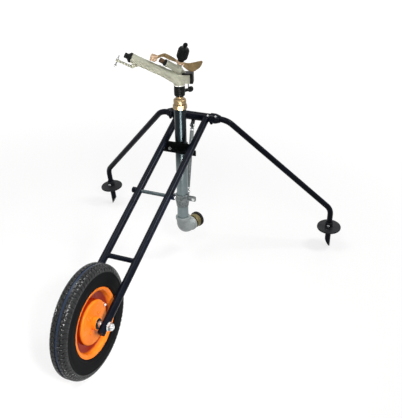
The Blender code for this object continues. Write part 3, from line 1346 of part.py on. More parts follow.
def cast_cutters():
    bore = bmesh.new()
    bore_start = CAST_BOTTOM + 0.0050
    sweep(bore, cast_path(bore_start, BARREL_LENGTH + 0.01), BARREL_BORE, count=18, side=(0, 1, 0))
    bore = solid("cut_cast_bore", bore, STEEL, head)
    inlet = turned("cut_cast_inlet", rod_outline(INLET_RADIUS + GAP, CAST_BOTTOM - 0.01,
                                                 bore_start + 0.001), STEEL,
                   head, steps=20, closed=False)
    spreader = bmesh.new()
    spin_outline(spreader, rod_outline(SPREADER_BORE, 0.004, SPREADER_LENGTH + 0.01), 14, False,
                 spreader_place())
    spreader = solid("cut_spreader_bore", spreader, STEEL, barrel)
    feed = bmesh.new()
    spin_outline(feed, rod_outline(SPREADER_BORE * 0.7, 0, SPREADER_OFFSET + 0.002), 10, False,
                 Matrix.Translation((SPREADER_START + 0.010, 0, 0)))
    feed = solid("cut_spreader_feed", feed, STEEL, barrel)
    for tool in (inlet, spreader, feed):
        join(bore, tool)
    pin = turned("cut_pin_seat", rod_outline(PIN_RADIUS + GAP, -ARM_BOSS_BELOW - PIN_SEAT, 0), STEEL, arm,
                 steps=16,
                 closed=False)
    screw = turned("cut_jet_screw_hole", rod_outline(JET_SCREW_RADIUS + RUN, -BRACKET_DROP - 0.02,
                                                     -BRACKET_DROP + 0.012),
                   STEEL, barrel, (bracket_reach(), 0, 0), steps=12, closed=False)
    cavity = boxed("cut_trip_cavity", (-BOX_BACK - 0.01, -BOX_HALF_WIDTH + BOX_WALL,
                                       BOX_BOTTOM + BOX_WALL),
                   (-INLET_CUP_RADIUS * 0.62, BOX_HALF_WIDTH - BOX_WALL, BOX_TOP - BOX_WALL), STEEL, head)
    slot_half = LEVER_WIDTH / 2 + (LEVER_PIVOT_Z - BOX_BOTTOM) * tan(radians(LEVER_SWING)) + 0.0015
    slot = boxed("cut_lever_slot", (-LEVER_X - LEVER_THICKNESS / 2 - 0.0015, -slot_half,
                                    BOX_BOTTOM - 0.01),
                 (-LEVER_X + LEVER_THICKNESS / 2 + 0.0015, slot_half, BOX_BOTTOM + BOX_WALL + 0.002),
                 STEEL, head)
    shaft = turned("cut_lever_bearing", rod_outline(LEVER_SHAFT_RADIUS + GAP, -BOX_BACK,
                                                    -lever_shaft_front() + GAP),
                   STEEL, head, (0, 0, LEVER_PIVOT_Z), along_x, steps=12, closed=False)
    return bore, pin, screw, cavity, slot, shaft


def make_inlet_tube():
    top = CAST_BOTTOM + 0.0050 - GAP
    turned("inlet_tube", tube_outline(INLET_RADIUS - INLET_WALL, INLET_RADIUS, CAST_BOTTOM - INLET_DROP,
                                      top), BRASS,
           head, steps=20)
    low = SLEEVE_TOP + GAP
    high = min(low + SEAL_THICKNESS, CAST_BOTTOM - GAP)
    turned("seal_ring", tube_outline(INLET_RADIUS + GAP, SEAL_RADIUS, low, high), WHITE_NYLON, head,
           steps=20)


# Nozzles and the jet-breaker screw
def make_nozzles():
    start = BARREL_LENGTH + GAP
    flange = start + NOZZLE_FLANGE_WIDTH
    end = BARREL_LENGTH + NOZZLE_LENGTH
    spigot = BARREL_BORE - GAP
    outline = [(spigot - 0.0015, BARREL_LENGTH - NOZZLE_SPIGOT), (spigot, BARREL_LENGTH - NOZZLE_SPIGOT),
               (spigot, start), (NOZZLE_FLANGE_RADIUS - 0.001, start),
               (NOZZLE_FLANGE_RADIUS, start + 0.001),
               (NOZZLE_FLANGE_RADIUS, flange - 0.001), (NOZZLE_FLANGE_RADIUS - 0.0022, flange + 0.0005),
               (NOZZLE_STEP_RADIUS, flange + (end - flange) * 0.25),
               (NOZZLE_STEP_RADIUS * 0.85, flange + (end - flange) * 0.68),
               (NOZZLE_TIP_RADIUS + 0.0008, end - 0.001), (NOZZLE_TIP_RADIUS, end), (NOZZLE_BORE, end),
               (NOZZLE_BORE, end - 0.006)]
    turned("main_nozzle", outline, BLACK_PLASTIC, barrel, rotation=along_x, steps=20)

    low = SPREADER_LENGTH + GAP
    high = low + SPREADER_NUT_LENGTH
    hole = around(SPREADER_BORE)
    rings = [hexagon(SPREADER_NUT_FLATS, low, 12), hexagon(SPREADER_NUT_FLATS, high, 12),
             circle(hole, high, 12),
             circle(hole, low, 12)]
    bm = bmesh.new()
    skin(bm, rings, ring_closed=True, place=spreader_place())
    solid("spreader_nozzle_nut", bm, BLACK_PLASTIC, barrel)

    face = high + GAP
    end = face + SPREADER_TIP_LENGTH
    spigot = SPREADER_BORE - GAP
    outline = [(SPREADER_TIP_BORE, SPREADER_LENGTH - SPREADER_SPIGOT),
               (spigot, SPREADER_LENGTH - SPREADER_SPIGOT),
               (spigot, face), (SPREADER_TIP_RADIUS, face), (SPREADER_TIP_RADIUS, end - 0.004),
               (SPREADER_TIP_RADIUS - 0.0015, end), (SPREADER_TIP_BORE, end)]
    bm = bmesh.new()
    spin_outline(bm, outline, 14, True, spreader_place())
    solid("spreader_tip", bm, BRONZE, barrel)


def make_jet_screw():
    tip = -JET_SCREW_TIP
    end = tip - JET_SCREW_LENGTH
    outline = [(0, tip), (JET_SCREW_RADIUS * 0.6, tip), (JET_SCREW_RADIUS, tip - 0.0015),
               (JET_SCREW_RADIUS, end + JET_HEAD_HEIGHT), (JET_HEAD_RADIUS, end + JET_HEAD_HEIGHT),
               (JET_HEAD_RADIUS, end + 0.001), (JET_HEAD_RADIUS - 0.001, end), (0, end)]
    turned("jet_breaker_screw", outline, STEEL, barrel, (bracket_reach(), 0, 0), steps=12, closed=False)


# Drive arm, its pin, spring, cap and knob
def make_arm():
    boss_top, boss_low = ARM_BOSS_ABOVE, -ARM_BOSS_BELOW
    clear = PIVOT_BOSS_RADIUS + 0.0030
    deflector_end = DEFLECTOR_START + DEFLECTOR_LENGTH
    outline = [(ARM_BOSS_RADIUS * 0.75, boss_top - 0.0002), (ARM_PEAK * 0.6, ARM_PEAK_RISE * 0.78),
               (ARM_PEAK * 0.96, ARM_PEAK_RISE), (ARM_PEAK * 1.10, ARM_PEAK_RISE * 0.80),
               (DEFLECTOR_START + 0.004, DEFLECTOR_TOP - 0.0005),
               (DEFLECTOR_START + 0.004, DEFLECTOR_TOP - 0.012),
               (DEFLECTOR_START - 0.001, DEFLECTOR_TOP - 0.010),
               (ARM_PEAK * 1.13, ARM_PEAK_RISE - ARM_DEPTH * 1.45),
               (ARM_PEAK * 0.82, ARM_PEAK_RISE - ARM_DEPTH * 1.5), (ARM_PEAK * 0.66, boss_low + 0.002),
               (ARM_BOSS_RADIUS * 0.9, boss_low + 0.0025),
               (-PIVOT_BOSS_RADIUS - 0.0006, boss_low + 0.0002),
               (-clear, -TAIL_DROP * 0.49), (-TAIL_REACH * 0.60, -TAIL_DROP),
               (-TAIL_REACH * 0.82, -TAIL_DROP * 0.42),
               (-TAIL_REACH * 0.95, TAIL_RISE * 0.15), (-TAIL_REACH, TAIL_RISE * 0.85),
               (-TAIL_REACH * 0.92, TAIL_RISE),
               (-TAIL_REACH * 0.66, TAIL_RISE * 0.50), (-TAIL_REACH * 0.38, TAIL_RISE * 0.03),
               (-ARM_BOSS_RADIUS * 0.75, boss_top - 0.0002)]
    bm = bmesh.new()
    plate(bm, outline, -ARM_THICKNESS / 2, ARM_THICKNESS / 2)
    bar = solid("drive_arm", bm, BRONZE, arm)
    join(bar,
         turned("add_arm_boss", [(0, boss_top), (ARM_BOSS_RADIUS - 0.001, boss_top),
                                 (ARM_BOSS_RADIUS, boss_top - 0.001),
                                      (ARM_BOSS_RADIUS, boss_low + 0.001),
                                      (ARM_BOSS_RADIUS - 0.001, boss_low), (0, boss_low)],
                     BRONZE, arm, steps=20, closed=False))
    join(bar,
         boxed("add_deflector", (DEFLECTOR_START, -DEFLECTOR_WIDTH / 2, DEFLECTOR_TOP - DEFLECTOR_HEIGHT),
                    (deflector_end, DEFLECTOR_WIDTH / 2, DEFLECTOR_TOP), BRONZE, arm))
    fin = bmesh.new()
    fin_outline = [(-TAIL_REACH * 0.52, -TAIL_DROP * 0.86), (-TAIL_REACH * 0.60, -TAIL_DROP * 0.97),
                   (-TAIL_REACH * 0.82, -TAIL_DROP * 0.40), (-TAIL_REACH * 0.945, TAIL_RISE * 0.16),
                   (-TAIL_REACH * 0.99, TAIL_RISE * 0.84), (-TAIL_REACH * 0.92, TAIL_RISE * 0.98),
                   (-TAIL_REACH * 0.66, TAIL_RISE * 0.46), (-TAIL_REACH * 0.50, TAIL_RISE * 0.12)]
    plate(fin, fin_outline, -TAIL_THICKNESS / 2, TAIL_THICKNESS / 2)
    join(bar, solid("add_counterweight", fin, BRONZE, arm))
    cut(bar, boxed("cut_deflector_channel", (DEFLECTOR_START - 0.005, -DEFLECTOR_SLOT / 2,
                                             DEFLECTOR_TOP - DEFLECTOR_HEIGHT - 0.01),
                   (DEFLECTOR_START + DEFLECTOR_LENGTH * 0.62, DEFLECTOR_SLOT / 2, DEFLECTOR_TOP - 0.0135),
                   STEEL, arm))
    cut(bar, turned("cut_arm_bore", rod_outline(PIN_RADIUS + RUN, boss_low - 0.01, boss_top + 0.01), STEEL,
                    arm, steps=16,
                    closed=False))


def make_pin_and_spring():
    low = -ARM_BOSS_BELOW - PIN_SEAT + GAP
    turned("arm_pivot_pin", rod_outline(PIN_RADIUS, low, PIN_TOP), STEEL, arm, steps=16, closed=False)
    bm = bmesh.new()
    start = ARM_BOSS_ABOVE + GAP + ARM_SPRING_WIRE
    coil(bm, ARM_SPRING_RADIUS, ARM_SPRING_WIRE, start, PIN_TOP - 0.006, ARM_SPRING_TURNS, count=10,
         sides=4)
    solid("arm_spring", bm, STEEL, arm)


def make_cap():
    wide_low = CAP_BOTTOM + (CAP_TOP - CAP_BOTTOM) * 0.46
    wide_high = CAP_BOTTOM + (CAP_TOP - CAP_BOTTOM) * 0.78
    stem_hole = KNOB_STEM_RADIUS + GAP
    inside_top = PIN_TOP + 2 * GAP
    spring_clear = ARM_SPRING_RADIUS + ARM_SPRING_WIRE / 2 + 0.0006
    outline = [(spring_clear, CAP_BOTTOM), (CAP_NECK_RADIUS, CAP_BOTTOM),
               (CAP_NECK_RADIUS + 0.0015, CAP_BOTTOM + 0.0045),
               (CAP_RADIUS - 0.0018, wide_low - 0.0060), (CAP_RADIUS, wide_low), (CAP_RADIUS, wide_high),
               (CAP_RADIUS - 0.0018, wide_high + 0.0035), (CAP_TOP_RADIUS + 0.0008, CAP_TOP - 0.0008),
               (CAP_TOP_RADIUS, CAP_TOP), (stem_hole, CAP_TOP), (stem_hole, inside_top),
               (CAP_TOP_RADIUS - CAP_WALL, inside_top), (CAP_RADIUS - CAP_WALL, wide_high - 0.0015),
               (CAP_RADIUS - CAP_WALL, wide_low), (spring_clear, wide_low - 0.012)]
    turned("spring_cap", outline, BLACK_PLASTIC, arm, steps=20)
    neck = CAP_TOP + GAP
    centre = neck + 0.002 + KNOB_RADIUS * 0.75
    outline = [(0, PIN_TOP + GAP), (KNOB_STEM_RADIUS, PIN_TOP + GAP), (KNOB_STEM_RADIUS, neck),
               (KNOB_STEM_RADIUS + 0.0015, neck), (KNOB_STEM_RADIUS + 0.0015, neck + 0.002)]
    count = 5
    first = atan2(neck + 0.002 - centre, KNOB_STEM_RADIUS + 0.0015)
    for i in range(1, count + 1):
        angle = first + (pi / 2 - first) * i / count
        outline.append((KNOB_RADIUS * cos(angle) if i < count else 0, centre + KNOB_RADIUS * sin(angle)))
    turned("tension_knob", outline, BLACK_PLASTIC, arm, steps=14, closed=False)


# Trip lever and cover
def lever_shaft_front():
    return INLET_CUP_RADIUS * 0.62 - 0.004


def make_trip():
    hub = bmesh.new()
    hub_half = LEVER_THICKNESS / 2 + 0.002
    back = BOX_BACK + GAP
    place = Matrix.Translation((0, 0, LEVER_PIVOT_Z)) @ Matrix.Rotation(pi / 2, 4, "Y")
    outline = [(0, -lever_shaft_front()), (LEVER_SHAFT_RADIUS, -lever_shaft_front()),
               (LEVER_SHAFT_RADIUS, -LEVER_X + hub_half), (LEVER_HUB_RADIUS, -LEVER_X + hub_half),
               (LEVER_HUB_RADIUS, -LEVER_X - hub_half), (LEVER_SHAFT_RADIUS, -LEVER_X - hub_half),
               (LEVER_SHAFT_RADIUS, -back), (0, -back)]
    spin_outline(hub, outline, 14, False, place)
    lever = solid("trip_lever", hub, BLACK_PLASTIC, head)
    join(lever, boxed("add_lever_bar", (-LEVER_X - LEVER_THICKNESS / 2, -LEVER_WIDTH / 2, LEVER_BOTTOM),
                      (-LEVER_X + LEVER_THICKNESS / 2, LEVER_WIDTH / 2, LEVER_TOP), BLACK_PLASTIC, head))

    top_low = BOX_TOP + GAP
    top_high = top_low + COVER_THICKNESS
    inner = BOX_BACK + 2 * GAP
    outer = inner + COVER_THICKNESS
    corner = 0.004
    outline = [(-COVER_FRONT, top_low), (-COVER_FRONT - 0.004, top_high), (-outer + corner, top_high),
               (-outer + corner * 0.3, top_high - corner * 0.3), (-outer, top_high - corner),
               (-outer, BOX_BOTTOM),
               (-inner, BOX_BOTTOM), (-inner, top_low)]
    bm = bmesh.new()
    plate(bm, outline, -COVER_HALF_WIDTH, COVER_HALF_WIDTH)
    cover = solid("trip_cover", bm, BLACK_PLASTIC, head)
    web = WEB_THICKNESS / 2 + GAP
    cut(cover, boxed("cut_cover_notch", (-BOX_BACK * 0.62 - GAP, -web, BOX_TOP - 0.01),
                     (0.01, web, BOX_TOP + 0.02), STEEL, head))


strap_holes = make_strap_holes()
make_tyre()
make_rims()
make_hub()
make_bearings()
make_axle()
make_valve()
make_rails()
make_cross_tube()
make_low_bar()
make_rod()
make_riser_plate()
make_strap()
make_strap_bolts()
make_sockets()
for leg_tag, leg_side in (("left", -1), ("right", 1)):
    make_leg(f"leg_{leg_tag}", leg_side)
    make_foot(leg_tag, leg_side)
make_saddle(make_stay())
make_riser()
make_elbow()
make_coupling()
make_adaptor()
make_sleeve()
make_trip_collars()
make_cast_body()
make_inlet_tube()
make_nozzles()
make_jet_screw()
make_arm()
make_pin_and_spring()
make_cap()
make_trip()
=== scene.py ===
# Looks of a large impact sprinkler on a one-wheeled stand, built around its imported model.
# Metres, +Z up. The wheel is at -Y, the legs splay to both sides of X and back to +Y.
from math import cos, pi, radians, sin, tan

import bmesh
import bpy
from mathutils import Matrix, Vector, noise


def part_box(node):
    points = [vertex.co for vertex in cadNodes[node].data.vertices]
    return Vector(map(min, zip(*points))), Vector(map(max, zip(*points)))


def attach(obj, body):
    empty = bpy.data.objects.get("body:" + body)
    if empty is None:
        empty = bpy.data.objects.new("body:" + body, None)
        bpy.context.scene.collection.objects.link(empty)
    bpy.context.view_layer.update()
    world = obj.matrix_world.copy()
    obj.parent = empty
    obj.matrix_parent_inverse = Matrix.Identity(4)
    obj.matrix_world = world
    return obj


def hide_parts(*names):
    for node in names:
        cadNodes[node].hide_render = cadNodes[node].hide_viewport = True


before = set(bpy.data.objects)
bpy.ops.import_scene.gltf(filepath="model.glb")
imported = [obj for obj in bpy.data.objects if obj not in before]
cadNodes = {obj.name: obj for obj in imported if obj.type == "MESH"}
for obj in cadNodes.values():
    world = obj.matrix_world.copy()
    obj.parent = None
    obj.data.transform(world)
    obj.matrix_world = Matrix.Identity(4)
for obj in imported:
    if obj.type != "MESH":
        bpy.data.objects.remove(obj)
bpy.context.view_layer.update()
print("frame loaded:", len(cadNodes), "nodes")


def addObject(name, data):
    thing = bpy.data.objects.new(name, data)
    bpy.context.collection.objects.link(thing)
    return thing


# A node with its settings, then its socket values, then the links into it
def addNode(tree, kind, settings=None, links=None):
    node = tree.nodes.new(kind)
    for key, value in (settings or {}).items():
        if isinstance(key, str) and hasattr(node, key):
            setattr(node, key, value)
        else:
            node.inputs[key].default_value = value
    for key, output in (links or {}).items():
        tree.links.new(output, node.inputs[key])
    return node


# A math node's result; each of its two inputs is a number or another node's output
def mathOf(tree, operation, *values):
    node = addNode(tree, "ShaderNodeMath", {"operation": operation})
    for socket, value in zip(node.inputs, values):
        if isinstance(value, (int, float)):
            socket.default_value = value
        else:
            tree.links.new(value, socket)
    return node.outputs[0]


# Camera at the photograph's angle
cameraView = {"lens": 60.29, "spot": (1.0129, -1.8803, 1.4919), "yaw": 23.652, "pitch": 28.126, "roll": -0.825}


def placeCamera(view):
    yaw, pitch, roll = (radians(view[key]) for key in ("yaw", "pitch", "roll"))
    ahead = Vector((-sin(yaw) * cos(pitch), cos(yaw) * cos(pitch), -sin(pitch)))
    right = Vector((cos(yaw), sin(yaw), 0))
    up = right.cross(ahead)
    right, up = right * cos(roll) + up * sin(roll), up * cos(roll) - right * sin(roll)
    lens = bpy.data.cameras.new("photoLens")
    lens.lens = view["lens"]
    lens.sensor_width = 36
    lens.clip_start, lens.clip_end = 0.05, 60
    eye = addObject("photoCamera", lens)
    turn = Matrix((right, up, -ahead)).transposed().to_4x4()
    eye.matrix_world = Matrix.Translation(view["spot"]) @ turn
    bpy.context.scene.camera = eye


placeCamera(cameraView)

# Lamps: the key above the camera, one at the upper right, weak fills, a narrow beam on the wheel, a strip for the riser
lampFields = ("spot", "aim", "size", "power", "spread", "colour")
lamps = {
    "keyPanel": ((0.68, -2.0, 2.43), (0, -0.1, 0.35), (0.6, 0.6), 18, 180, (1.0, 0.99, 0.98)),
    "rightPanel": ((1.77, 0.64, 2.60), (0, -0.1, 0.35), (0.8, 0.8), 40, 180, (1.0, 0.99, 0.98)),
    "wheelBeam": ((1.61, -1.78, 1.75), (0, -0.50, 0.17), (0.4, 0.4), 3.1, 38, (1.0, 0.99, 0.98)),
    "topPanel": ((-0.6, -0.2, 3.0), (0, 0, 0.35), (1.4, 1.4), 27, 180, (1.0, 1.0, 1.0)),
    "leftPanel": ((-2.2, -1.4, 1.6), (0, 0, 0.35), (1.0, 1.0), 6, 180, (0.98, 0.99, 1.0)),
    "backPanel": ((0.4, 2.7, 1.8), (0, 0, 0.35), (1.4, 1.4), 8, 180, (0.97, 0.98, 1.0)),
    "riserStrip": ((0.236, -0.266, 0.352), (0.009, 0.002, 0.501), (0.33, 0.19), 0.95, 44, (1.0, 0.95, 0.92)),
}


def placeLamps():
    for name, row in lamps.items():
        lamp = dict(zip(lampFields, row))
        light = bpy.data.lights.new(name, "AREA")
        light.shape = "RECTANGLE"
        light.size, light.size_y = lamp["size"]
        light.energy = lamp["power"]
        light.spread = radians(lamp["spread"])
        light.color = lamp["colour"]
        holder = addObject(name, light)
        holder.visible_camera = False
        aim = Vector(lamp["aim"]) - Vector(lamp["spot"])
        holder.matrix_world = Matrix.Translation(lamp["spot"]) @ aim.to_track_quat("-Z", "Y").to_matrix().to_4x4()


studio = {"background": 1.0, "fill": 0.12, "floorColour": (0.28, 0.28, 0.28), "floorGlow": (0.73, 1.0),
          "glowReach": (0.9, 3.2), "floorSize": 16.0}


# 1 on rays that show the backdrop: from the camera, mirrored in metal or seen through glass
def shownRays(tree):
    rays = addNode(tree, "ShaderNodeLightPath").outputs
    seen = mathOf(tree, "MAXIMUM", rays["Is Camera Ray"], rays["Is Transmission Ray"])
    return mathOf(tree, "MAXIMUM", seen, rays["Is Glossy Ray"])


# The backdrop is white to the camera and to reflections, and dimmer as fill light
def makeWorld():
    world = bpy.data.worlds.new("studio")
    bpy.context.scene.world = world
    world.use_nodes = True
    tree = world.node_tree
    strength = addNode(tree, "ShaderNodeMapRange", {"To Min": studio["fill"], "To Max": studio["background"]},
                       {"Value": shownRays(tree)})
    shade = tree.nodes["Background"]
    tree.links.new(strength.outputs[0], shade.inputs["Strength"])
    shade.inputs["Color"].default_value = (1, 1, 1, 1)


def makeFloor():
    bm = bmesh.new()
    bmesh.ops.create_grid(bm, x_segments=4, y_segments=4, size=studio["floorSize"] / 2)
    mesh = bpy.data.meshes.new("floor")
    bm.to_mesh(mesh)
    bm.free()
    floor = addObject("floor", mesh)
    material = bpy.data.materials.new("paleFloor")
    material.use_nodes = True
    tree = material.node_tree
    shader = tree.nodes["Principled BSDF"]
    for socket, value in (("Base Color", (*studio["floorColour"], 1)), ("Roughness", 0.9),
                          ("Specular IOR Level", 0.1), ("Emission Color", (1, 1, 1, 1))):
        shader.inputs[socket].default_value = value
    place = addNode(tree, "ShaderNodeTexCoord").outputs["Object"]
    away = addNode(tree, "ShaderNodeVectorMath", {"operation": "LENGTH"}, {0: place}).outputs["Value"]
    near, far = studio["glowReach"]
    low, high = studio["floorGlow"]
    level = addNode(tree, "ShaderNodeMapRange", {"interpolation_type": "SMOOTHSTEP", "From Min": near, "From Max": far,
                                                 "To Min": low, "To Max": high}, {"Value": away})
    tree.links.new(mathOf(tree, "MULTIPLY", shownRays(tree), level.outputs[0]), shader.inputs["Emission Strength"])
    mesh.materials.append(material)


placeLamps()
makeWorld()
makeFloor()
bpy.context.scene.view_settings.view_transform = "Standard"
print("studio ready")


# Shared surface effects, each a node group that is built once
def newGroup(name, amounts, label, kind="NodeSocketFloat"):
    group = bpy.data.node_groups.new(name, "ShaderNodeTree")
    group.interface.new_socket(name="Vector", in_out="INPUT", socket_type="NodeSocketVector")
    for amount, value in amounts.items():
        socket = group.interface.new_socket(name=amount, in_out="INPUT", socket_type="NodeSocketFloat")
        socket.default_value = value
    group.interface.new_socket(name=label, in_out="OUTPUT", socket_type=kind)
    return group, group.nodes.new("NodeGroupInput").outputs, group.nodes.new("NodeGroupOutput").inputs[label]


def noiseOf(tree, vector, detail, roughness, scale):
    return addNode(tree, "ShaderNodeTexNoise", {"Detail": detail, "Roughness": roughness},
                   {"Vector": vector, "Scale": scale}).outputs[0]


def between(tree, value, low, high):
    return addNode(tree, "ShaderNodeMapRange", {"From Min": low, "From Max": high}, {"Value": value}).outputs[0]


# Two noises, one broad and one fine, give a mask from 0 to 1
def buildMottle():
    group, given, mask = newGroup("mottle", {"Scale": 20.0, "Contrast": 0.35}, "Mask")
    broad = noiseOf(group, given["Vector"], 3.0, 0.55, given["Scale"])
    fine = noiseOf(group, given["Vector"], 2.0, 0.6, mathOf(group, "MULTIPLY", given["Scale"], 6.3))
    both = addNode(group, "ShaderNodeMath", {"operation": "MULTIPLY_ADD", 1: 0.35}, {0: fine, 2: broad})
    low, high = (mathOf(group, operation, 0.675, given["Contrast"]) for operation in ("SUBTRACT", "ADD"))
    step = addNode(group, "ShaderNodeMapRange", {"interpolation_type": "SMOOTHSTEP"},
                   {"Value": both.outputs[0], "From Min": low, "From Max": high})
    group.links.new(step.outputs[0], mask)
    return group


# A mask from two others and an amount
def weighed(group, first, second, amount, mask):
    both = mathOf(group, "MULTIPLY", first, second)
    whole = addNode(group, "ShaderNodeMath", {"operation": "MULTIPLY", "use_clamp": True}, {0: both, 1: amount})
    group.links.new(whole.outputs[0], mask)
    return group


# Worn paint or bright metal along outer edges, broken up by noise
def buildEdgeWear():
    group, given, mask = newGroup("edgeWear", {"Scale": 90.0, "Amount": 0.5}, "Mask")
    edge = between(group, addNode(group, "ShaderNodeNewGeometry").outputs["Pointiness"], 0.53, 0.62)
    patches = between(group, noiseOf(group, given["Vector"], 4.0, 0.65, given["Scale"]), 0.40, 0.62)
    return weighed(group, edge, patches, given["Amount"], mask)


# Dust that settles on faces that look up
def buildDust():
    group, given, mask = newGroup("settledDust", {"Amount": 0.3}, "Mask")
    normal = addNode(group, "ShaderNodeNewGeometry").outputs["Normal"]
    upward = between(group, addNode(group, "ShaderNodeSeparateXYZ", None, {0: normal}).outputs["Z"], 0.1, 1.0)
    grain = addNode(group, "ShaderNodeTexNoise", {"Scale": 38.0, "Detail": 5.0, "Roughness": 0.7},
                    {"Vector": given["Vector"]})
    return weighed(group, upward, between(group, grain.outputs[0], 0.35, 0.75), given["Amount"], mask)


# Fine relief: a grain for castings, moulded plastic and rubber, or a slow ripple for paint
def buildRelief():
    group, given, normal = newGroup("fineRelief", {"Scale": 400.0, "Strength": 0.3, "Depth": 0.0003}, "Normal",
                                    "NodeSocketVector")
    grain = noiseOf(group, given["Vector"], 3.0, 0.6, given["Scale"])
    bump = addNode(group, "ShaderNodeBump", None, {"Height": grain, "Strength": given["Strength"],
                                                   "Distance": given["Depth"]})
    group.links.new(bump.outputs[0], normal)
    return group


effects = {"mottle": buildMottle(), "edgeWear": buildEdgeWear(), "dust": buildDust(), "relief": buildRelief()}


def useEffect(tree, effect, settings, links):
    return addNode(tree, "ShaderNodeGroup", {"node_tree": effects[effect], **settings}, links)


def mixColours(tree, mask, first, second):
    node = tree.nodes.new("ShaderNodeMix")
    node.data_type = "RGBA"
    tree.links.new(mask, node.inputs["Factor"])
    for socket, value in ((node.inputs[6], first), (node.inputs[7], second)):
        if isinstance(value, tuple):
            socket.default_value = (*value, 1)
        else:
            tree.links.new(value, socket)
    return node.outputs[2]


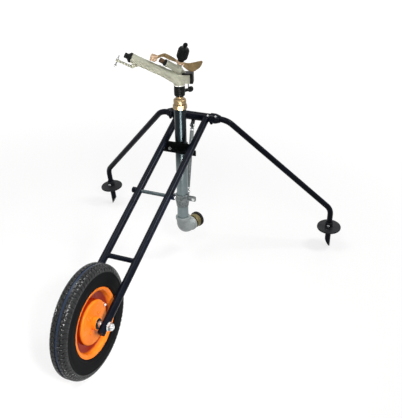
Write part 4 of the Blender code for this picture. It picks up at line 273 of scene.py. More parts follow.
# Each finish in the order of the fields; grain is scale, strength, depth, and wear and dust are amount, tone
finishFields = ("slot", "tones", "scale", "rough", "metallic", "specular", "grain", "wear", "dust")
finishes = {
    "blackPaint": ("black_paint", ((0.0014, 0.0023, 0.0056), (0.0038, 0.0058, 0.0120)), 14, (0.17, 0.27), 0.0, 0.06,
                   (230, 0.10, 0.0003), (0.20, (0.07, 0.075, 0.085)), (0.05, (0.08, 0.085, 0.09))),
    # painted shade: a darker copy of the black paint for the riser plate, standing in for shade on it
    "paintedShadeBlack": ("black_paint", ((0.0009, 0.0012, 0.0012), (0.0020, 0.0024, 0.0024)), 26, (0.50, 0.64), 0.0, 0.01,
                    (230, 0.10, 0.0003), (0.25, (0.05, 0.052, 0.055)), (0.04, (0.07, 0.07, 0.07))),
    "discPaint": ("black_paint", ((0.0075, 0.0085, 0.0110), (0.0150, 0.0165, 0.0195)), 26, (0.35, 0.52), 0.0, 0.10,
                  (260, 0.12, 0.0003), (0.35, (0.09, 0.09, 0.095)), (0.18, (0.11, 0.108, 0.10))),
    "orangePaint": ("orange_paint", ((0.95, 0.205, 0.010), (1.0, 0.265, 0.022)), 9, (0.22, 0.32), 0.0, 0.10,
                    (120, 0.06, 0.0003), (0.10, (0.78, 0.12, 0.006)), (0.02, (0.60, 0.30, 0.10))),
    "tyreRubber": ("tyre", ((0.0042, 0.0045, 0.005), (0.0084, 0.009, 0.0097)), 22, (0.40, 0.60), 0.0, 0.02,
                   (700, 0.30, 0.0002), (0.45, (0.060, 0.063, 0.068)), (0.06, (0.09, 0.088, 0.080))),
    "plainRubber": ("rubber", ((0.008, 0.008, 0.009), (0.015, 0.015, 0.016)), 40, (0.5, 0.7), 0.0, 0.12,
                    (900, 0.2, 0.0002), (0.2, (0.04, 0.04, 0.04)), (0.10, (0.10, 0.095, 0.085))),
    "blackPlastic": ("black_plastic", ((0.0045, 0.0058, 0.0055), (0.0090, 0.0108, 0.0102)), 50, (0.24, 0.40), 0.0,
                     0.07, (1100, 0.14, 0.0001), (0.30, (0.045, 0.048, 0.046)), (0.03, (0.08, 0.08, 0.075))),
    "paleCasting": ("casting", ((0.300, 0.308, 0.236), (0.430, 0.440, 0.350)), 30, (0.36, 0.52), 0.0, 0.38,
                    (620, 0.34, 0.00035), (0.45, (0.62, 0.63, 0.54)), (0.08, (0.30, 0.29, 0.23))),
    "brass": ("brass", ((0.1872, 0.131, 0.0634), (0.324, 0.2412, 0.1332)), 34, (0.32, 0.46), 0.92, 0.5,
              (500, 0.10, 0.0002), (0.8, (0.88, 0.76, 0.54)), (0.04, (0.22, 0.16, 0.09))),
    "oldBrass": ("brass", ((0.1105, 0.0918, 0.0391), (0.2125, 0.1785, 0.085)), 34, (0.26, 0.42), 0.92, 0.5,
                 (500, 0.10, 0.0002), (0.7, (0.70, 0.62, 0.40)), (0.04, (0.20, 0.16, 0.09))),
    "bronze": ("bronze", ((0.124, 0.0832, 0.0352), (0.28, 0.192, 0.0832)), 46, (0.26, 0.42), 0.42, 0.5,
               (560, 0.32, 0.0003), (0.9, (0.78, 0.48, 0.30)), (0.05, (0.24, 0.18, 0.10))),
    "zincSteel": ("zinc_steel", ((0.60, 0.62, 0.62), (0.84, 0.85, 0.84)), 60, (0.20, 0.34), 0.92, 0.5,
                  (800, 0.08, 0.0002), (0.3, (0.88, 0.88, 0.88)), (0.04, (0.30, 0.29, 0.28))),
    "dullSteel": ("zinc_steel", ((0.160, 0.172, 0.168), (0.320, 0.335, 0.325)), 60, (0.22, 0.38), 0.85, 0.5,
                  (700, 0.12, 0.0002), (0.6, (0.60, 0.61, 0.60)), (0.04, (0.22, 0.22, 0.21))),
    "rodZinc": ("zinc_steel", ((0.035, 0.0518, 0.0574), (0.0588, 0.0798, 0.0868)), 24, (0.24, 0.38), 0.70, 0.5,
                (360, 0.12, 0.0002), (0.08, (0.42, 0.46, 0.46)), (0.03, (0.20, 0.21, 0.21))),
    "nylon": ("nylon", ((0.78, 0.78, 0.73), (0.88, 0.88, 0.83)), 60, (0.38, 0.5), 0.0, 0.4, (600, 0.05, 0.0002),
              (0.0, (0.8, 0.8, 0.75)), (0.08, (0.45, 0.43, 0.38))),
    "paleZinc": ("galvanised", ((0.12, 0.144, 0.1472), (0.192, 0.2176, 0.2208)), 28, (0.40, 0.54), 0.45, 0.5,
                 (360, 0.08, 0.0002), (0.12, (0.66, 0.69, 0.69)), (0.06, (0.28, 0.29, 0.28))),
    "saddleZinc": ("galvanised", ((0.070, 0.087, 0.089), (0.156, 0.180, 0.180)), 34, (0.28, 0.46), 0.50, 0.4,
                   (420, 0.40, 0.0005), (0.9, (0.80, 0.84, 0.84)), (0.05, (0.30, 0.30, 0.29))),
    "castZinc": ("galvanised", ((0.222, 0.2531, 0.2531), (0.3478, 0.3811, 0.3811)), 40, (0.30, 0.46), 0.35, 0.4,
                 (520, 0.42, 0.0004), (0.9, (0.78, 0.82, 0.82)), (0.05, (0.30, 0.30, 0.29))),
    "riserSteel": ("galvanised", ((0.145, 0.1825, 0.19), (0.2, 0.24, 0.2475)), 9, (0.26, 0.34), 0.95, 0.5,
                   (200, 0.03, 0.0002), (0.1, (0.42, 0.46, 0.47)), (0.01, (0.22, 0.24, 0.24))),
    "darkBronze": ("bronze", ((0.045, 0.024, 0.010), (0.085, 0.048, 0.020)), 60, (0.34, 0.50), 0.5, 0.3,
                   (600, 0.2, 0.0002), (0.6, (0.34, 0.22, 0.11)), (0.04, (0.18, 0.14, 0.09))),
    "capPlastic": ("black_plastic", ((0.0030, 0.0040, 0.0040), (0.0062, 0.0076, 0.0074)), 60, (0.30, 0.44), 0.0, 0.08,
                   (1000, 0.12, 0.0001), (0.25, (0.035, 0.037, 0.036)), (0.02, (0.08, 0.08, 0.075))),
    "glossyBlack": ("black_plastic", ((0.0028, 0.0034, 0.0032), (0.0050, 0.0058, 0.0056)), 60, (0.26, 0.40), 0.0,
                    0.07, (900, 0.05, 0.0001), (0.15, (0.035, 0.037, 0.035)), (0.02, (0.08, 0.08, 0.075))),
}
# What only some of them have
finishExtras = {
    # painted shade in the rim's deep channel: where it lies and its shaded orange
    "orangePaint": {"well": {"depth": (0.0150, 0.0085), "outer": (0.1000, 0.0940), "tone": (0.27, 0.016, 0.003)}},
    "tyreRubber": {"tread": {"half": (0.0275, 0.0300), "reach": (0.1590, 0.1615), "coat": 0.62, "coatRough": 0.24},
                   # painted highlight: a bluish line round the middle of the tread
                   "highlightLine": {"half": (0.0022, 0.0062), "share": 0.55, "tone": (0.016, 0.042, 0.105)}},
    # partly metal worn by rubbing, partly painted highlight, on the arm's boss and deflector
    "bronze": {"rubbedAndHighlight": {"boss": (0.0175, 0.0150), "ends": (0.0788, 0.0798), "tone": (0.48, 0.34, 0.22)}},
    "rodZinc": {"spangle": 0.04},
    "paleZinc": {"spangle": 0.05},
    "saddleZinc": {"spangle": 0.20},
    "castZinc": {"spangle": 0.10},
    # painted reflection: the riser's colour darkens above the plate
    "riserSteel": {"darker": {"span": (0.365, 0.480), "tone": (0.0135, 0.0195, 0.0220)}},
}

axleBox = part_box("axle")
axleSpot = [(axleBox[0][i] + axleBox[1][i]) / 2 for i in range(3)]
pivotSpot = (0.0049, 0.2609, 0.8010)     # the drive arm's pivot


# A smooth step: 0 at the first value, 1 at the second, which may lie either way round
def stepBetween(tree, value, span):
    low, high = min(span), max(span)
    step = addNode(tree, "ShaderNodeMapRange", {"interpolation_type": "SMOOTHSTEP", "From Min": low, "From Max": high,
                                                "To Min": float(span[0] > span[1]), "To Max": float(span[0] < span[1])},
                   {"Value": value})
    return step.outputs[0]


# How far a point of the wheel is from the wheel's middle plane, and how far from its axle
def wheelMeasures(tree, at):
    offset = addNode(tree, "ShaderNodeVectorMath", {"operation": "SUBTRACT", 1: axleSpot}, {0: at}).outputs[0]
    parts = addNode(tree, "ShaderNodeSeparateXYZ", None, {0: offset})
    aside = addNode(tree, "ShaderNodeMath", {"operation": "ABSOLUTE"}, {0: parts.outputs["X"]}).outputs[0]
    flat = addNode(tree, "ShaderNodeCombineXYZ", None, {"Y": parts.outputs["Y"], "Z": parts.outputs["Z"]}).outputs[0]
    return aside, addNode(tree, "ShaderNodeVectorMath", {"operation": "LENGTH"}, {0: flat}).outputs["Value"]


def makeFinish(name, look):
    material = bpy.data.materials.new(name)
    material.use_nodes = True
    tree = material.node_tree
    shader = tree.nodes["Principled BSDF"]
    at = addNode(tree, "ShaderNodeTexCoord").outputs["Object"]
    tone = useEffect(tree, "mottle", {"Scale": look["scale"]}, {"Vector": at}).outputs[0]
    colour = mixColours(tree, tone, *look["tones"])
    if look.get("well"):                   # painted shade: the rim's deep channel is a darker, redder orange, for the shade inside it
        aside, reach = wheelMeasures(tree, at)
        deep = stepBetween(tree, aside, look["well"]["depth"])
        inside = stepBetween(tree, reach, look["well"]["outer"])
        wellShade = mathOf(tree, "MULTIPLY", deep, inside)
        colour = mixColours(tree, wellShade, colour, look["well"]["tone"])
    if look.get("highlightLine"):                 # painted highlight: a bluish line round the middle of the tread
        aside, reach = wheelMeasures(tree, at)
        line = stepBetween(tree, aside, (look["highlightLine"]["half"][1], look["highlightLine"]["half"][0]))
        share = mathOf(tree, "MULTIPLY", line, look["highlightLine"]["share"])
        colour = mixColours(tree, share, colour, look["highlightLine"]["tone"])
        weight = stepBetween(tree, aside, (look["tread"]["half"][1], look["tread"]["half"][0]))
        outer = stepBetween(tree, reach, look["tread"]["reach"])
        weight = mathOf(tree, "MULTIPLY", weight, outer)
        gloss = mathOf(tree, "MULTIPLY", weight, look["tread"]["coat"])
        tree.links.new(gloss, shader.inputs["Coat Weight"])
        shader.inputs["Coat Roughness"].default_value = look["tread"]["coatRough"]
    if look.get("rubbedAndHighlight"):                 # partly metal worn by rubbing, partly painted highlight: coppery where the arm turns on its pin and where the jet strikes it
        offset = addNode(tree, "ShaderNodeVectorMath", {"operation": "SUBTRACT", 1: pivotSpot}, {0: at}).outputs[0]
        reach = addNode(tree, "ShaderNodeVectorMath", {"operation": "LENGTH"}, {0: offset}).outputs["Value"]
        bright = mathOf(tree, "MAXIMUM", *(stepBetween(tree, reach, look["rubbedAndHighlight"][part]) for part in ("boss", "ends")))
        colour = mixColours(tree, bright, colour, look["rubbedAndHighlight"]["tone"])
    if look.get("darker"):                 # painted reflection: the pipe is darker towards its upper end, for the dark surroundings it mirrors there
        height = addNode(tree, "ShaderNodeSeparateXYZ", None, {0: at}).outputs["Z"]
        upper = stepBetween(tree, height, look["darker"]["span"])
        colour = mixColours(tree, upper, colour, look["darker"]["tone"])
    if look.get("spangle"):                # zinc crystals: flat cells of slightly different brightness
        cells = addNode(tree, "ShaderNodeTexVoronoi", {"Scale": 150.0, "Randomness": 1.0}, {"Vector": at})
        shade = addNode(tree, "ShaderNodeSeparateColor", None, {0: cells.outputs["Color"]}).outputs[0]
        weight = mathOf(tree, "MULTIPLY", shade, look["spangle"])
        colour = mixColours(tree, weight, colour, look["wear"][1])
    if look["wear"][0]:
        worn = useEffect(tree, "edgeWear", {"Amount": look["wear"][0]}, {"Vector": at}).outputs[0]
        colour = mixColours(tree, worn, colour, look["wear"][1])
    dusty = useEffect(tree, "dust", {"Amount": look["dust"][0]}, {"Vector": at}).outputs[0]
    colour = mixColours(tree, dusty, colour, look["dust"][1])
    tree.links.new(colour, shader.inputs["Base Color"])
    rough = addNode(tree, "ShaderNodeMapRange", {"To Min": look["rough"][0], "To Max": look["rough"][1]},
                    {"Value": tone})
    tree.links.new(rough.outputs[0], shader.inputs["Roughness"])
    shader.inputs["Metallic"].default_value = look["metallic"]
    shader.inputs["Specular IOR Level"].default_value = look["specular"]
    scale, strength, depth = look["grain"]
    relief = useEffect(tree, "relief", {"Scale": scale, "Strength": strength, "Depth": depth}, {"Vector": at})
    tree.links.new(relief.outputs[0], shader.inputs["Normal"])
    return material


finish = {name: makeFinish(name, {**dict(zip(finishFields, row)), **finishExtras.get(name, {})})
          for name, row in finishes.items()}
print("finishes made:", len(finish))


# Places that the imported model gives: the axle, the riser, the head, the barrel, the arm and the outlet
def pointing(direction):
    return Vector(direction).to_track_quat("Z", "Y").to_matrix().to_4x4()


def moved(x, y, z):
    return Matrix.Translation((x, y, z))


def turned(degrees, axis):
    return Matrix.Rotation(radians(degrees), 4, axis)


def flipped(side):                     # mirrored along Z for a side of -1
    return Matrix.Diagonal((1, 1, side, 1))


def onStand(point):
    return standPlace @ Matrix.Translation(point)


alongX, facingFront = turned(90, "Y"), turned(90, "X")
standPlace = moved(0, 0.25927, 0)
axlePoint = Vector((0, -0.694, 0.183))
crossPoint = Vector((0, 0.1164, 0.5666))
railAim = crossPoint + Vector((0, 0, 0.0055))
railAlong = (railAim - axlePoint).normalized()
wheelPlace = onStand(axlePoint) @ alongX
crossPlace = onStand(crossPoint) @ alongX
headPlace = standPlace @ turned(198, "Z")
armPlace = headPlace @ moved(-0.0052, 0, 0.8010) @ turned(-17.5, "Y")
outletAlong = Vector((sin(radians(13)), cos(radians(13)), 0))
outletPlace = standPlace @ moved(0, 0, 0.145) @ pointing(outletAlong)


# Modelling helpers: each makes one closed part, and addPart puts it into a piece
def addPart(piece, part, place=Matrix()):
    bmesh.ops.remove_doubles(part, verts=part.verts, dist=1e-6)
    bmesh.ops.recalc_face_normals(part, faces=part.faces)
    bmesh.ops.transform(part, matrix=place, verts=part.verts)
    if place.determinant() < 0:
        bmesh.ops.reverse_faces(part, faces=part.faces)
    carrier = bpy.data.meshes.new("carrier")
    part.to_mesh(carrier)
    part.free()
    piece.from_mesh(carrier)
    bpy.data.meshes.remove(carrier)


def rounded(part, items, size, segments=2, affect="EDGES", clamp=False):
    bmesh.ops.bevel(part, geom=items, offset=size, affect=affect, segments=segments, profile=0.5, material=-1,
                    clamp_overlap=clamp)


def onlyVerts(items):
    return [item for item in items if isinstance(item, bmesh.types.BMVert)]


def onlyEdges(items):
    return [item for item in items if isinstance(item, bmesh.types.BMEdge)]


# A plain six-sided bar about Z
def hexBar(flats, low, high, turn=0):
    part = bmesh.new()
    reach = flats / 2 / cos(pi / 6)
    bmesh.ops.create_cone(part, cap_ends=True, segments=6, radius1=reach, radius2=reach, depth=high - low,
                          matrix=moved(0, 0, (high + low) / 2) @ turned(turn, "Z"))
    return part


# Turns (radius, height) points about Z; a third number rounds that corner
def lathe(points, steps=72, closed=False):
    part = bmesh.new()
    chain = [part.verts.new((point[0], 0, point[1])) for point in points]
    for pair in zip(chain, chain[1:]):
        part.edges.new(pair)
    if closed:
        part.edges.new((chain[-1], chain[0]))
    for size in sorted({point[2] for point in points if len(point) > 2}):
        corners = [vert for vert, point in zip(chain, points) if len(point) > 2 and point[2] == size]
        rounded(part, corners, size, 3, "VERTICES")
    bmesh.ops.spin(part, geom=part.verts[:] + part.edges[:], cent=(0, 0, 0), axis=(0, 0, 1), angle=2 * pi,
                   steps=steps, use_merge=True, use_duplicate=False)
    return part


def rod(radius, low, high, round=0.0006, steps=48):
    return lathe([(0, high), (radius, high, round), (radius, low, round), (0, low)], steps)


def ring(inner, outer, low, high, round=0.0006, steps=72):
    corners = [(outer, high, round), (outer, low, round), (inner, low, round), (inner, high, round)]
    return lathe(corners, steps, closed=True)


def block(low, high, round=0.0008, segments=2):
    part = bmesh.new()
    low, high = Vector(low), Vector(high)
    size = high - low
    bmesh.ops.create_cube(part, size=1.0, matrix=Matrix.Translation((low + high) / 2) @ Matrix.Diagonal((*size, 1)))
    if round:
        rounded(part, part.edges[:], round, segments)
    return part


# A flat outline of (across, up) points, thick along its own axis, with its edges rounded
def slab(outline, low, high, flatAxis="Y", round=0.0006):
    part = bmesh.new()
    spots = {"X": lambda a, b: (low, a, b), "Y": lambda a, b: (a, low, b), "Z": lambda a, b: (a, b, low)}[flatAxis]
    part.faces.new([part.verts.new(spots(a, b)) for a, b in outline])
    step = {"X": (high - low, 0, 0), "Y": (0, high - low, 0), "Z": (0, 0, high - low)}[flatAxis]
    made = bmesh.ops.extrude_face_region(part, geom=part.faces[:])["geom"]
    bmesh.ops.translate(part, verts=onlyVerts(made), vec=step)
    bmesh.ops.recalc_face_normals(part, faces=part.faces)
    if round:
        rims = [edge for edge in part.edges if edge.calc_face_angle(0) > radians(35)]
        rounded(part, rims, round, 2, clamp=True)
    return part


# Frames along a path, Z ahead, with X carried from one to the next
def pathFrames(points, side, loop=False):
    made = []
    across, last = Vector(side), len(points) - 1
    for i, point in enumerate(points):
        before = points[i - 1] if i or loop else point
        after = points[(i + 1) % (last + 1)] if i < last or loop else point
        ahead = (after - before).normalized()
        across = (across - across.dot(ahead) * ahead).normalized()
        if across.length < 0.5:
            across = ahead.orthogonal().normalized()
        made.append(Matrix.Translation(point) @ Matrix((across, ahead.cross(across), ahead)).transposed().to_4x4())
    return made


def bentPath(corners, bend, steps=14):
    path = [Vector(corners[0])]
    for before, corner, after in zip(corners, corners[1:], corners[2:]):
        corner = Vector(corner)
        back, ahead = (Vector(before) - corner).normalized(), (Vector(after) - corner).normalized()
        half = back.angle(ahead) / 2
        centre = corner + (back + ahead).normalized() * (bend / sin(half))
        start = corner + back * (bend / tan(half))
        for i in range(steps + 1):
            turn = Matrix.Rotation(-(pi - 2 * half) * i / steps, 3, back.cross(ahead))
            path.append(centre + turn @ (start - centre))
    path.append(Vector(corners[-1]))
    return path


# Pulls a ring along a path; radius is one number or one for each point
def pulled(points, radius, side=(0, 1, 0), sides=32, capped=True, loop=False):
    part = bmesh.new()
    sizes = radius if isinstance(radius, (list, tuple)) else [radius] * len(points)
    steps = [at @ Matrix.Diagonal((size, size, size, 1)) for at, size in zip(pathFrames(points, side, loop), sizes)]
    start = bmesh.ops.create_circle(part, cap_ends=capped and not loop, radius=1.0, segments=sides, matrix=steps[0])
    verts = start["verts"]
    edges = list({edge for vert in verts for edge in vert.link_edges})
    first = edges
    for before, here in zip(steps, steps[1:]):
        made = bmesh.ops.extrude_edge_only(part, edges=edges)["geom"]
        verts = onlyVerts(made)
        inside = set(verts)
        edges = [edge for edge in onlyEdges(made) if edge.verts[0] in inside and edge.verts[1] in inside]
        bmesh.ops.transform(part, matrix=here @ before.inverted(), verts=verts)
    if loop:
        bmesh.ops.bridge_loops(part, edges=edges + first)
    elif capped:
        bmesh.ops.contextual_create(part, geom=edges)
    return part


# A wire coil about Z
def coil(radius, wire, low, high, turns, perTurn, sides):
    total = int(turns * perTurn)
    points = []
    for i in range(total + 1):
        angle = 2 * pi * i / perTurn
        points.append(Vector((radius * cos(angle), radius * sin(angle), low + (high - low) * i / total)))
    return pulled(points, wire / 2, side=(0, 0, 1), sides=sides)


def spotKey(vert):
    return round(vert.co.x, 7), round(vert.co.y, 7), round(vert.co.z, 7)


# Rings of (height, half x, half y, squareness) joined along Z: 2 is round, 6 nearly square
def loft(sections, sides=40):
    part = bmesh.new()
    ringNow = bmesh.ops.create_circle(part, cap_ends=True, radius=1.0, segments=sides)["verts"]
    angles = [Vector(vert.co.xy).angle_signed(Vector((1, 0))) for vert in ringNow]
    edges = list({edge for vert in ringNow for edge in vert.link_edges})
    order = {vert: angle for vert, angle in zip(ringNow, angles)}

    def lay(ring, section):
        height, wide, deep = section[:3]
        power = 2 / (section[3] if len(section) > 3 else 2)
        for vert, angle in ring.items():
            across, up = cos(angle), sin(angle)
            vert.co = (wide * abs(across) ** power * (1 if across >= 0 else -1),
                       deep * abs(up) ** power * (1 if up >= 0 else -1), height)

    lay(order, sections[0])
    for section in sections[1:]:
        before = {}
        for edge in edges:
            for vert in edge.verts:
                before[spotKey(vert)] = order[vert]
        made = bmesh.ops.extrude_edge_only(part, edges=edges)["geom"]
        order = {vert: before[spotKey(vert)] for vert in onlyVerts(made)}
        edges = [edge for edge in onlyEdges(made) if edge.verts[0] in order and edge.verts[1] in order]
        lay(order, section)
    bmesh.ops.contextual_create(part, geom=edges)
    return part


# Presses a turned part inwards between two heights, by a wave of 0 to 1 round its axis
def pressPart(part, depth, low, high, wave, least=1e-5):
    for vert in part.verts:
        flat = Vector(vert.co.xy)
        if low <= vert.co.z <= high and flat.length > least:
            flat *= 1 - depth * wave(flat.angle_signed(Vector((1, 0)))) / flat.length
            vert.co.x, vert.co.y = flat
    return part


def flutePart(part, count, depth, low, high, sharpness=1.0):
    return pressPart(part, depth, low, high, lambda turn: (0.5 - 0.5 * cos(turn * count)) ** sharpness)


def cutBy(part, point, normal):        # removes what lies ahead of the plane
    made = bmesh.ops.bisect_plane(part, geom=part.verts[:] + part.edges[:] + part.faces[:], plane_co=point,
                                  plane_no=normal, clear_outer=True)
    bmesh.ops.holes_fill(part, edges=onlyEdges(made["geom_cut"]))
    return part


# A weld bead: a rope of small overlapping ripples along a closed or open line of points
def weld(points, size, loop=True, seed=0.0, side=(0, 0, 1)):
    ripples = [size * (0.86 + 0.16 * (i % 2) + 0.10 * noise.noise(Vector((i * 0.9, seed, 0))))
               for i in range(len(points))]
    return pulled(points, ripples, side=side, sides=8, loop=loop, capped=not loop)


# A hex head with a washer face and a chamfered top, its seat on z = 0 and its height along +Z
def hexHead(piece, flats, height, place=Matrix(), washer=None):
    part = hexBar(flats, 0, height, 30)
    top = [edge for edge in part.edges if min(vert.co.z for vert in edge.verts) > height * 0.9]
    bmesh.ops.bevel(part, geom=top, offset=flats * 0.07, affect="EDGES", segments=2, profile=0.6, material=-1)
    addPart(piece, part, place)
    if washer:
        addPart(piece, ring(washer[0], washer[1], 0, washer[2], 0.0003, 40), place)


def hexBolt(piece, flats, head, radius, grip, place, washer, tail=0.0014):
    hexHead(piece, flats, head, place, washer)
    addPart(piece, rod(radius, -grip - (head + tail), head * 0.5, 0.0003, 24), place)
    under = place @ moved(0, 0, -grip) @ turned(180, "X")
    hexHead(piece, flats, head, under, washer)
    threads = [(radius * (0.86 if i % 2 else 1.0), head + tail * i / 6) for i in range(7)]
    addPart(piece, lathe([(0, head)] + threads + [(0, head + tail)], 24), under)


# One piece of (part, place) pairs
def joined(*parts):
    piece = bmesh.new()
    for part, place in parts:
        addPart(piece, part, place)
    return piece


pieces = {}


# Makes the object of a finished piece, smooth but for its sharp edges, and ties it to the frame
def finishPiece(name, piece, look, body, replaced=(), slot=None, sharp=36, weighted=True):
    bmesh.ops.triangulate(piece, faces=[face for face in piece.faces if len(face.verts) > 4])
    for face in piece.faces:
        face.smooth = True
    for edge in piece.edges:
        edge.smooth = edge.is_manifold and edge.calc_face_angle(0) < radians(sharp)
    mesh = bpy.data.meshes.new(name)
    piece.to_mesh(mesh)
    piece.free()
    thing = addObject(name, mesh)
    mesh.materials.append(finish[look])
    if weighted:
        bend = thing.modifiers.new("weightedNormals", "WEIGHTED_NORMAL")
        bend.keep_sharp = True
    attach(thing, body)
    if replaced:
        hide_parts(*replaced)
    slot = slot or finishes[look][0]
    pieces[name] = thing


# Melts overlapping parts of a casting into one skin with soft inner and outer corners
def castSkin(piece, grain, passes):
    carrier = bpy.data.meshes.new("castCarrier")
    piece.to_mesh(carrier)
    piece.free()
    thing = addObject("castCarrier", carrier)
    melt = thing.modifiers.new("melt", "REMESH")
    melt.mode = "VOXEL"
    melt.voxel_size = grain
    soften = thing.modifiers.new("soften", "SMOOTH")
    soften.factor = 0.5
    soften.iterations = passes
    skin = bpy.data.meshes.new_from_object(thing.evaluated_get(bpy.context.evaluated_depsgraph_get()))
    made = bmesh.new()
    made.from_mesh(skin)
    bpy.data.objects.remove(thing)
    bpy.data.meshes.remove(carrier)
    bpy.data.meshes.remove(skin)
    return made


def keepNode(node, look):              # a CAD node whose shape stays takes a finish of its own
    mesh = cadNodes[node].data
    mesh.materials.clear()
    mesh.materials.append(finish[look])


# Wheel, built about its axle with +Z on the near side
tyre = {"radius": 0.1828, "groove": 0.0036, "pitches": 72, "blockShare": 0.78,
        "inner": (0.0036, 0.0138), "outer": (0.0154, 0.0286), "zigzag": 0.17, "blockRound": 0.0006}


def crownRadius(across):
    return tyre["radius"] - 0.0225 * (abs(across) / 0.031) ** 4


# One block: a strip across the crown, bent to a zigzag, whose sides go down into the carcass
def treadBlock(span, shift):
    part = bmesh.new()
    bmesh.ops.create_grid(part, x_segments=6, y_segments=2, size=0.5)
    pitch = 2 * pi / tyre["pitches"]
    bends = {0: 0.0, 1: 0.5, 2: 1.0, 3: 0.35, 4: -0.35, 5: 0.1, 6: 0.5}
    for vert in part.verts:
        column = round((vert.co.x + 0.5) * 6)
        across = span[0] + (span[1] - span[0]) * (vert.co.x + 0.5)
        bend = tyre["zigzag"] * bends[column]
        angle = pitch * (shift + bend + vert.co.y * tyre["blockShare"])
        radius = crownRadius(across)
        vert.co = (radius * cos(angle), radius * sin(angle), across)
    top = part.faces[:]
    made = bmesh.ops.extrude_face_region(part, geom=top)["geom"]
    for vert in onlyVerts(made):
        shrink = 1 - (tyre["groove"] + 0.0008) / Vector(vert.co.xy).length
        vert.co = (vert.co.x * shrink, vert.co.y * shrink, vert.co.z)
    bmesh.ops.recalc_face_normals(part, faces=part.faces)
    rims = [edge for edge in part.edges if edge.calc_face_angle(0) > radians(45)
            and min(Vector(vert.co.xy).length - crownRadius(vert.co.z) for vert in edge.verts) > -0.0005]
    rounded(part, rims, tyre["blockRound"], 1)
    count = tyre["pitches"]
    bmesh.ops.spin(part, geom=part.verts[:] + part.edges[:] + part.faces[:], cent=(0, 0, 0), axis=(0, 0, 1),
                   angle=2 * pi * (count - 1) / count, steps=count - 1, use_duplicate=True, use_merge=False)
    return part


def makeTyre():
    piece = bmesh.new()
    drop = tyre["groove"]
    steps = (0.0, 0.004, 0.008, 0.012, 0.016, 0.0195, 0.0225, 0.0250, 0.0272)
    crown = [(crownRadius(across) - drop, across) for across in steps]
    side = [(0.1610, 0.0291), (0.1585, 0.0300), (0.1570, 0.0302), (0.1562, 0.0297), (0.1500, 0.0303),
            (0.1440, 0.0306), (0.1370, 0.0303), (0.1300, 0.0295), (0.1248, 0.0284), (0.1236, 0.0288),
            (0.1222, 0.0286), (0.1214, 0.0278), (0.1180, 0.0270), (0.1158, 0.0262), (0.1152, 0.0250),
            (0.1152, 0.0212), (0.1032, 0.0206), (0.1030, 0.0150)]
    half = crown + side
    outline = half + [(radius, -across) for radius, across in reversed(half[1:])]
    addPart(piece, lathe(outline, 192, closed=True))
    for span in (tyre["inner"], tyre["outer"]):
        shift = 0.5 if span is tyre["outer"] else 0.0
        addPart(piece, treadBlock(span, shift))
        mirrored = treadBlock(span, shift + 0.5)
        addPart(piece, mirrored, flipped(-1))
    bmesh.ops.transform(piece, matrix=wheelPlace, verts=piece.verts)
    finishPiece("tyreWithTread", piece, "tyreRubber", "wheel", ("tyre",), sharp=40, weighted=False)


# Pressed rim half: rolled flange, bead seat, well and dished disc, from the middle of the sheet
rim = {"lip": 0.1136, "seat": 0.1015, "well": 0.0775, "halfWidth": 0.0248, "sheet": 0.002, "disc": 0.066,
       "offset": 0.0185, "web": 0.00115, "hole": 0.0224}


def makeRim(name, flip, node):
    piece = bmesh.new()
    across = rim["halfWidth"]
    line = [(rim["lip"] - 0.0010, across + 0.0001), (rim["lip"] - 0.0001, across - 0.0007, 0.0007),
            (rim["lip"] - 0.0014, across - 0.0020, 0.0009), (rim["seat"] + 0.0048, across - 0.0024, 0.0020),
            (rim["seat"], across - 0.0060, 0.0026), (rim["seat"] - 0.0006, across - 0.0120, 0.0030),
            (rim["seat"] - 0.0050, 0.0042, 0.0040), (0.0900, rim["web"] + 0.0005, 0.0020),
            (rim["well"], rim["web"] + 0.0003, 0.0010),
            (rim["disc"] + 0.0062, rim["web"] + 0.0003, 0.0014), (rim["disc"] + 0.0046, 0.0100, 0.0020),
            (rim["disc"] + 0.0040, rim["offset"] - 0.0016, 0.0014), (rim["disc"] + 0.0014, rim["offset"], 0.0010),
            (0.0290, rim["offset"], 0.0008), (0.0275, rim["offset"] + 0.0002, 0.0006),
            (rim["hole"], rim["offset"] + 0.0002)]
    part = lathe(line, 144)
    bmesh.ops.recalc_face_normals(part, faces=part.faces)
    bmesh.ops.solidify(part, geom=part.faces[:], thickness=rim["sheet"] * 0.9)
    addPart(piece, part, flipped(flip))
    bmesh.ops.transform(piece, matrix=wheelPlace, verts=piece.verts)
    finishPiece(name, piece, "orangePaint", "wheel", (node,), sharp=50)


hubSizes = {"radius": 0.0213, "half": 0.0343, "flange": 0.0448, "boltCircle": 0.034, "bolts": 4, "flats": 0.010,
            "head": 0.0042, "boltRadius": 0.003}


def makeHub():
    piece = bmesh.new()
    top = 0.0170
    half = [(0.0172, hubSizes["half"] - 0.0008, 0.0004), (0.0182, hubSizes["half"], 0.0005),
            (hubSizes["radius"], hubSizes["half"], 0.0012), (hubSizes["radius"], top, 0.0008),
            (hubSizes["flange"], top, 0.0006), (hubSizes["flange"], top - 0.004, 0.0006),
            (hubSizes["radius"] - 0.0005, top - 0.004, 0.003)]
    outline = half + [(point[0], -point[1], *point[2:]) for point in reversed(half)]
    outline += [(0.0172, -0.0230), (0.0136, -0.0230), (0.0136, 0.0230), (0.0172, 0.0230)]
    addPart(piece, lathe(outline, 96, closed=True))
    for side in (1, -1):                   # a small collar beside each flange
        addPart(piece, ring(0.0212, 0.0222, 0.0203, 0.0222, 0.0004, 96), flipped(side))
    bmesh.ops.transform(piece, matrix=wheelPlace, verts=piece.verts)
    finishPiece("hubBarrel", piece, "orangePaint", "wheel", ("hub",))
    bolts = bmesh.new()
    face = 0.0197
    for k in range(hubSizes["bolts"]):
        turn = Matrix.Rotation(2 * pi * k / hubSizes["bolts"] + pi / 5, 4, "Z") @ moved(hubSizes["boltCircle"], 0, face)
        hexBolt(bolts, hubSizes["flats"], hubSizes["head"] - 0.0002, hubSizes["boltRadius"], 2 * face,
                wheelPlace @ turn, washer=(0.0031, 0.0062, 0.0009))
    finishPiece("rimBolts", bolts, "orangePaint", "wheel", (), "zinc_steel")


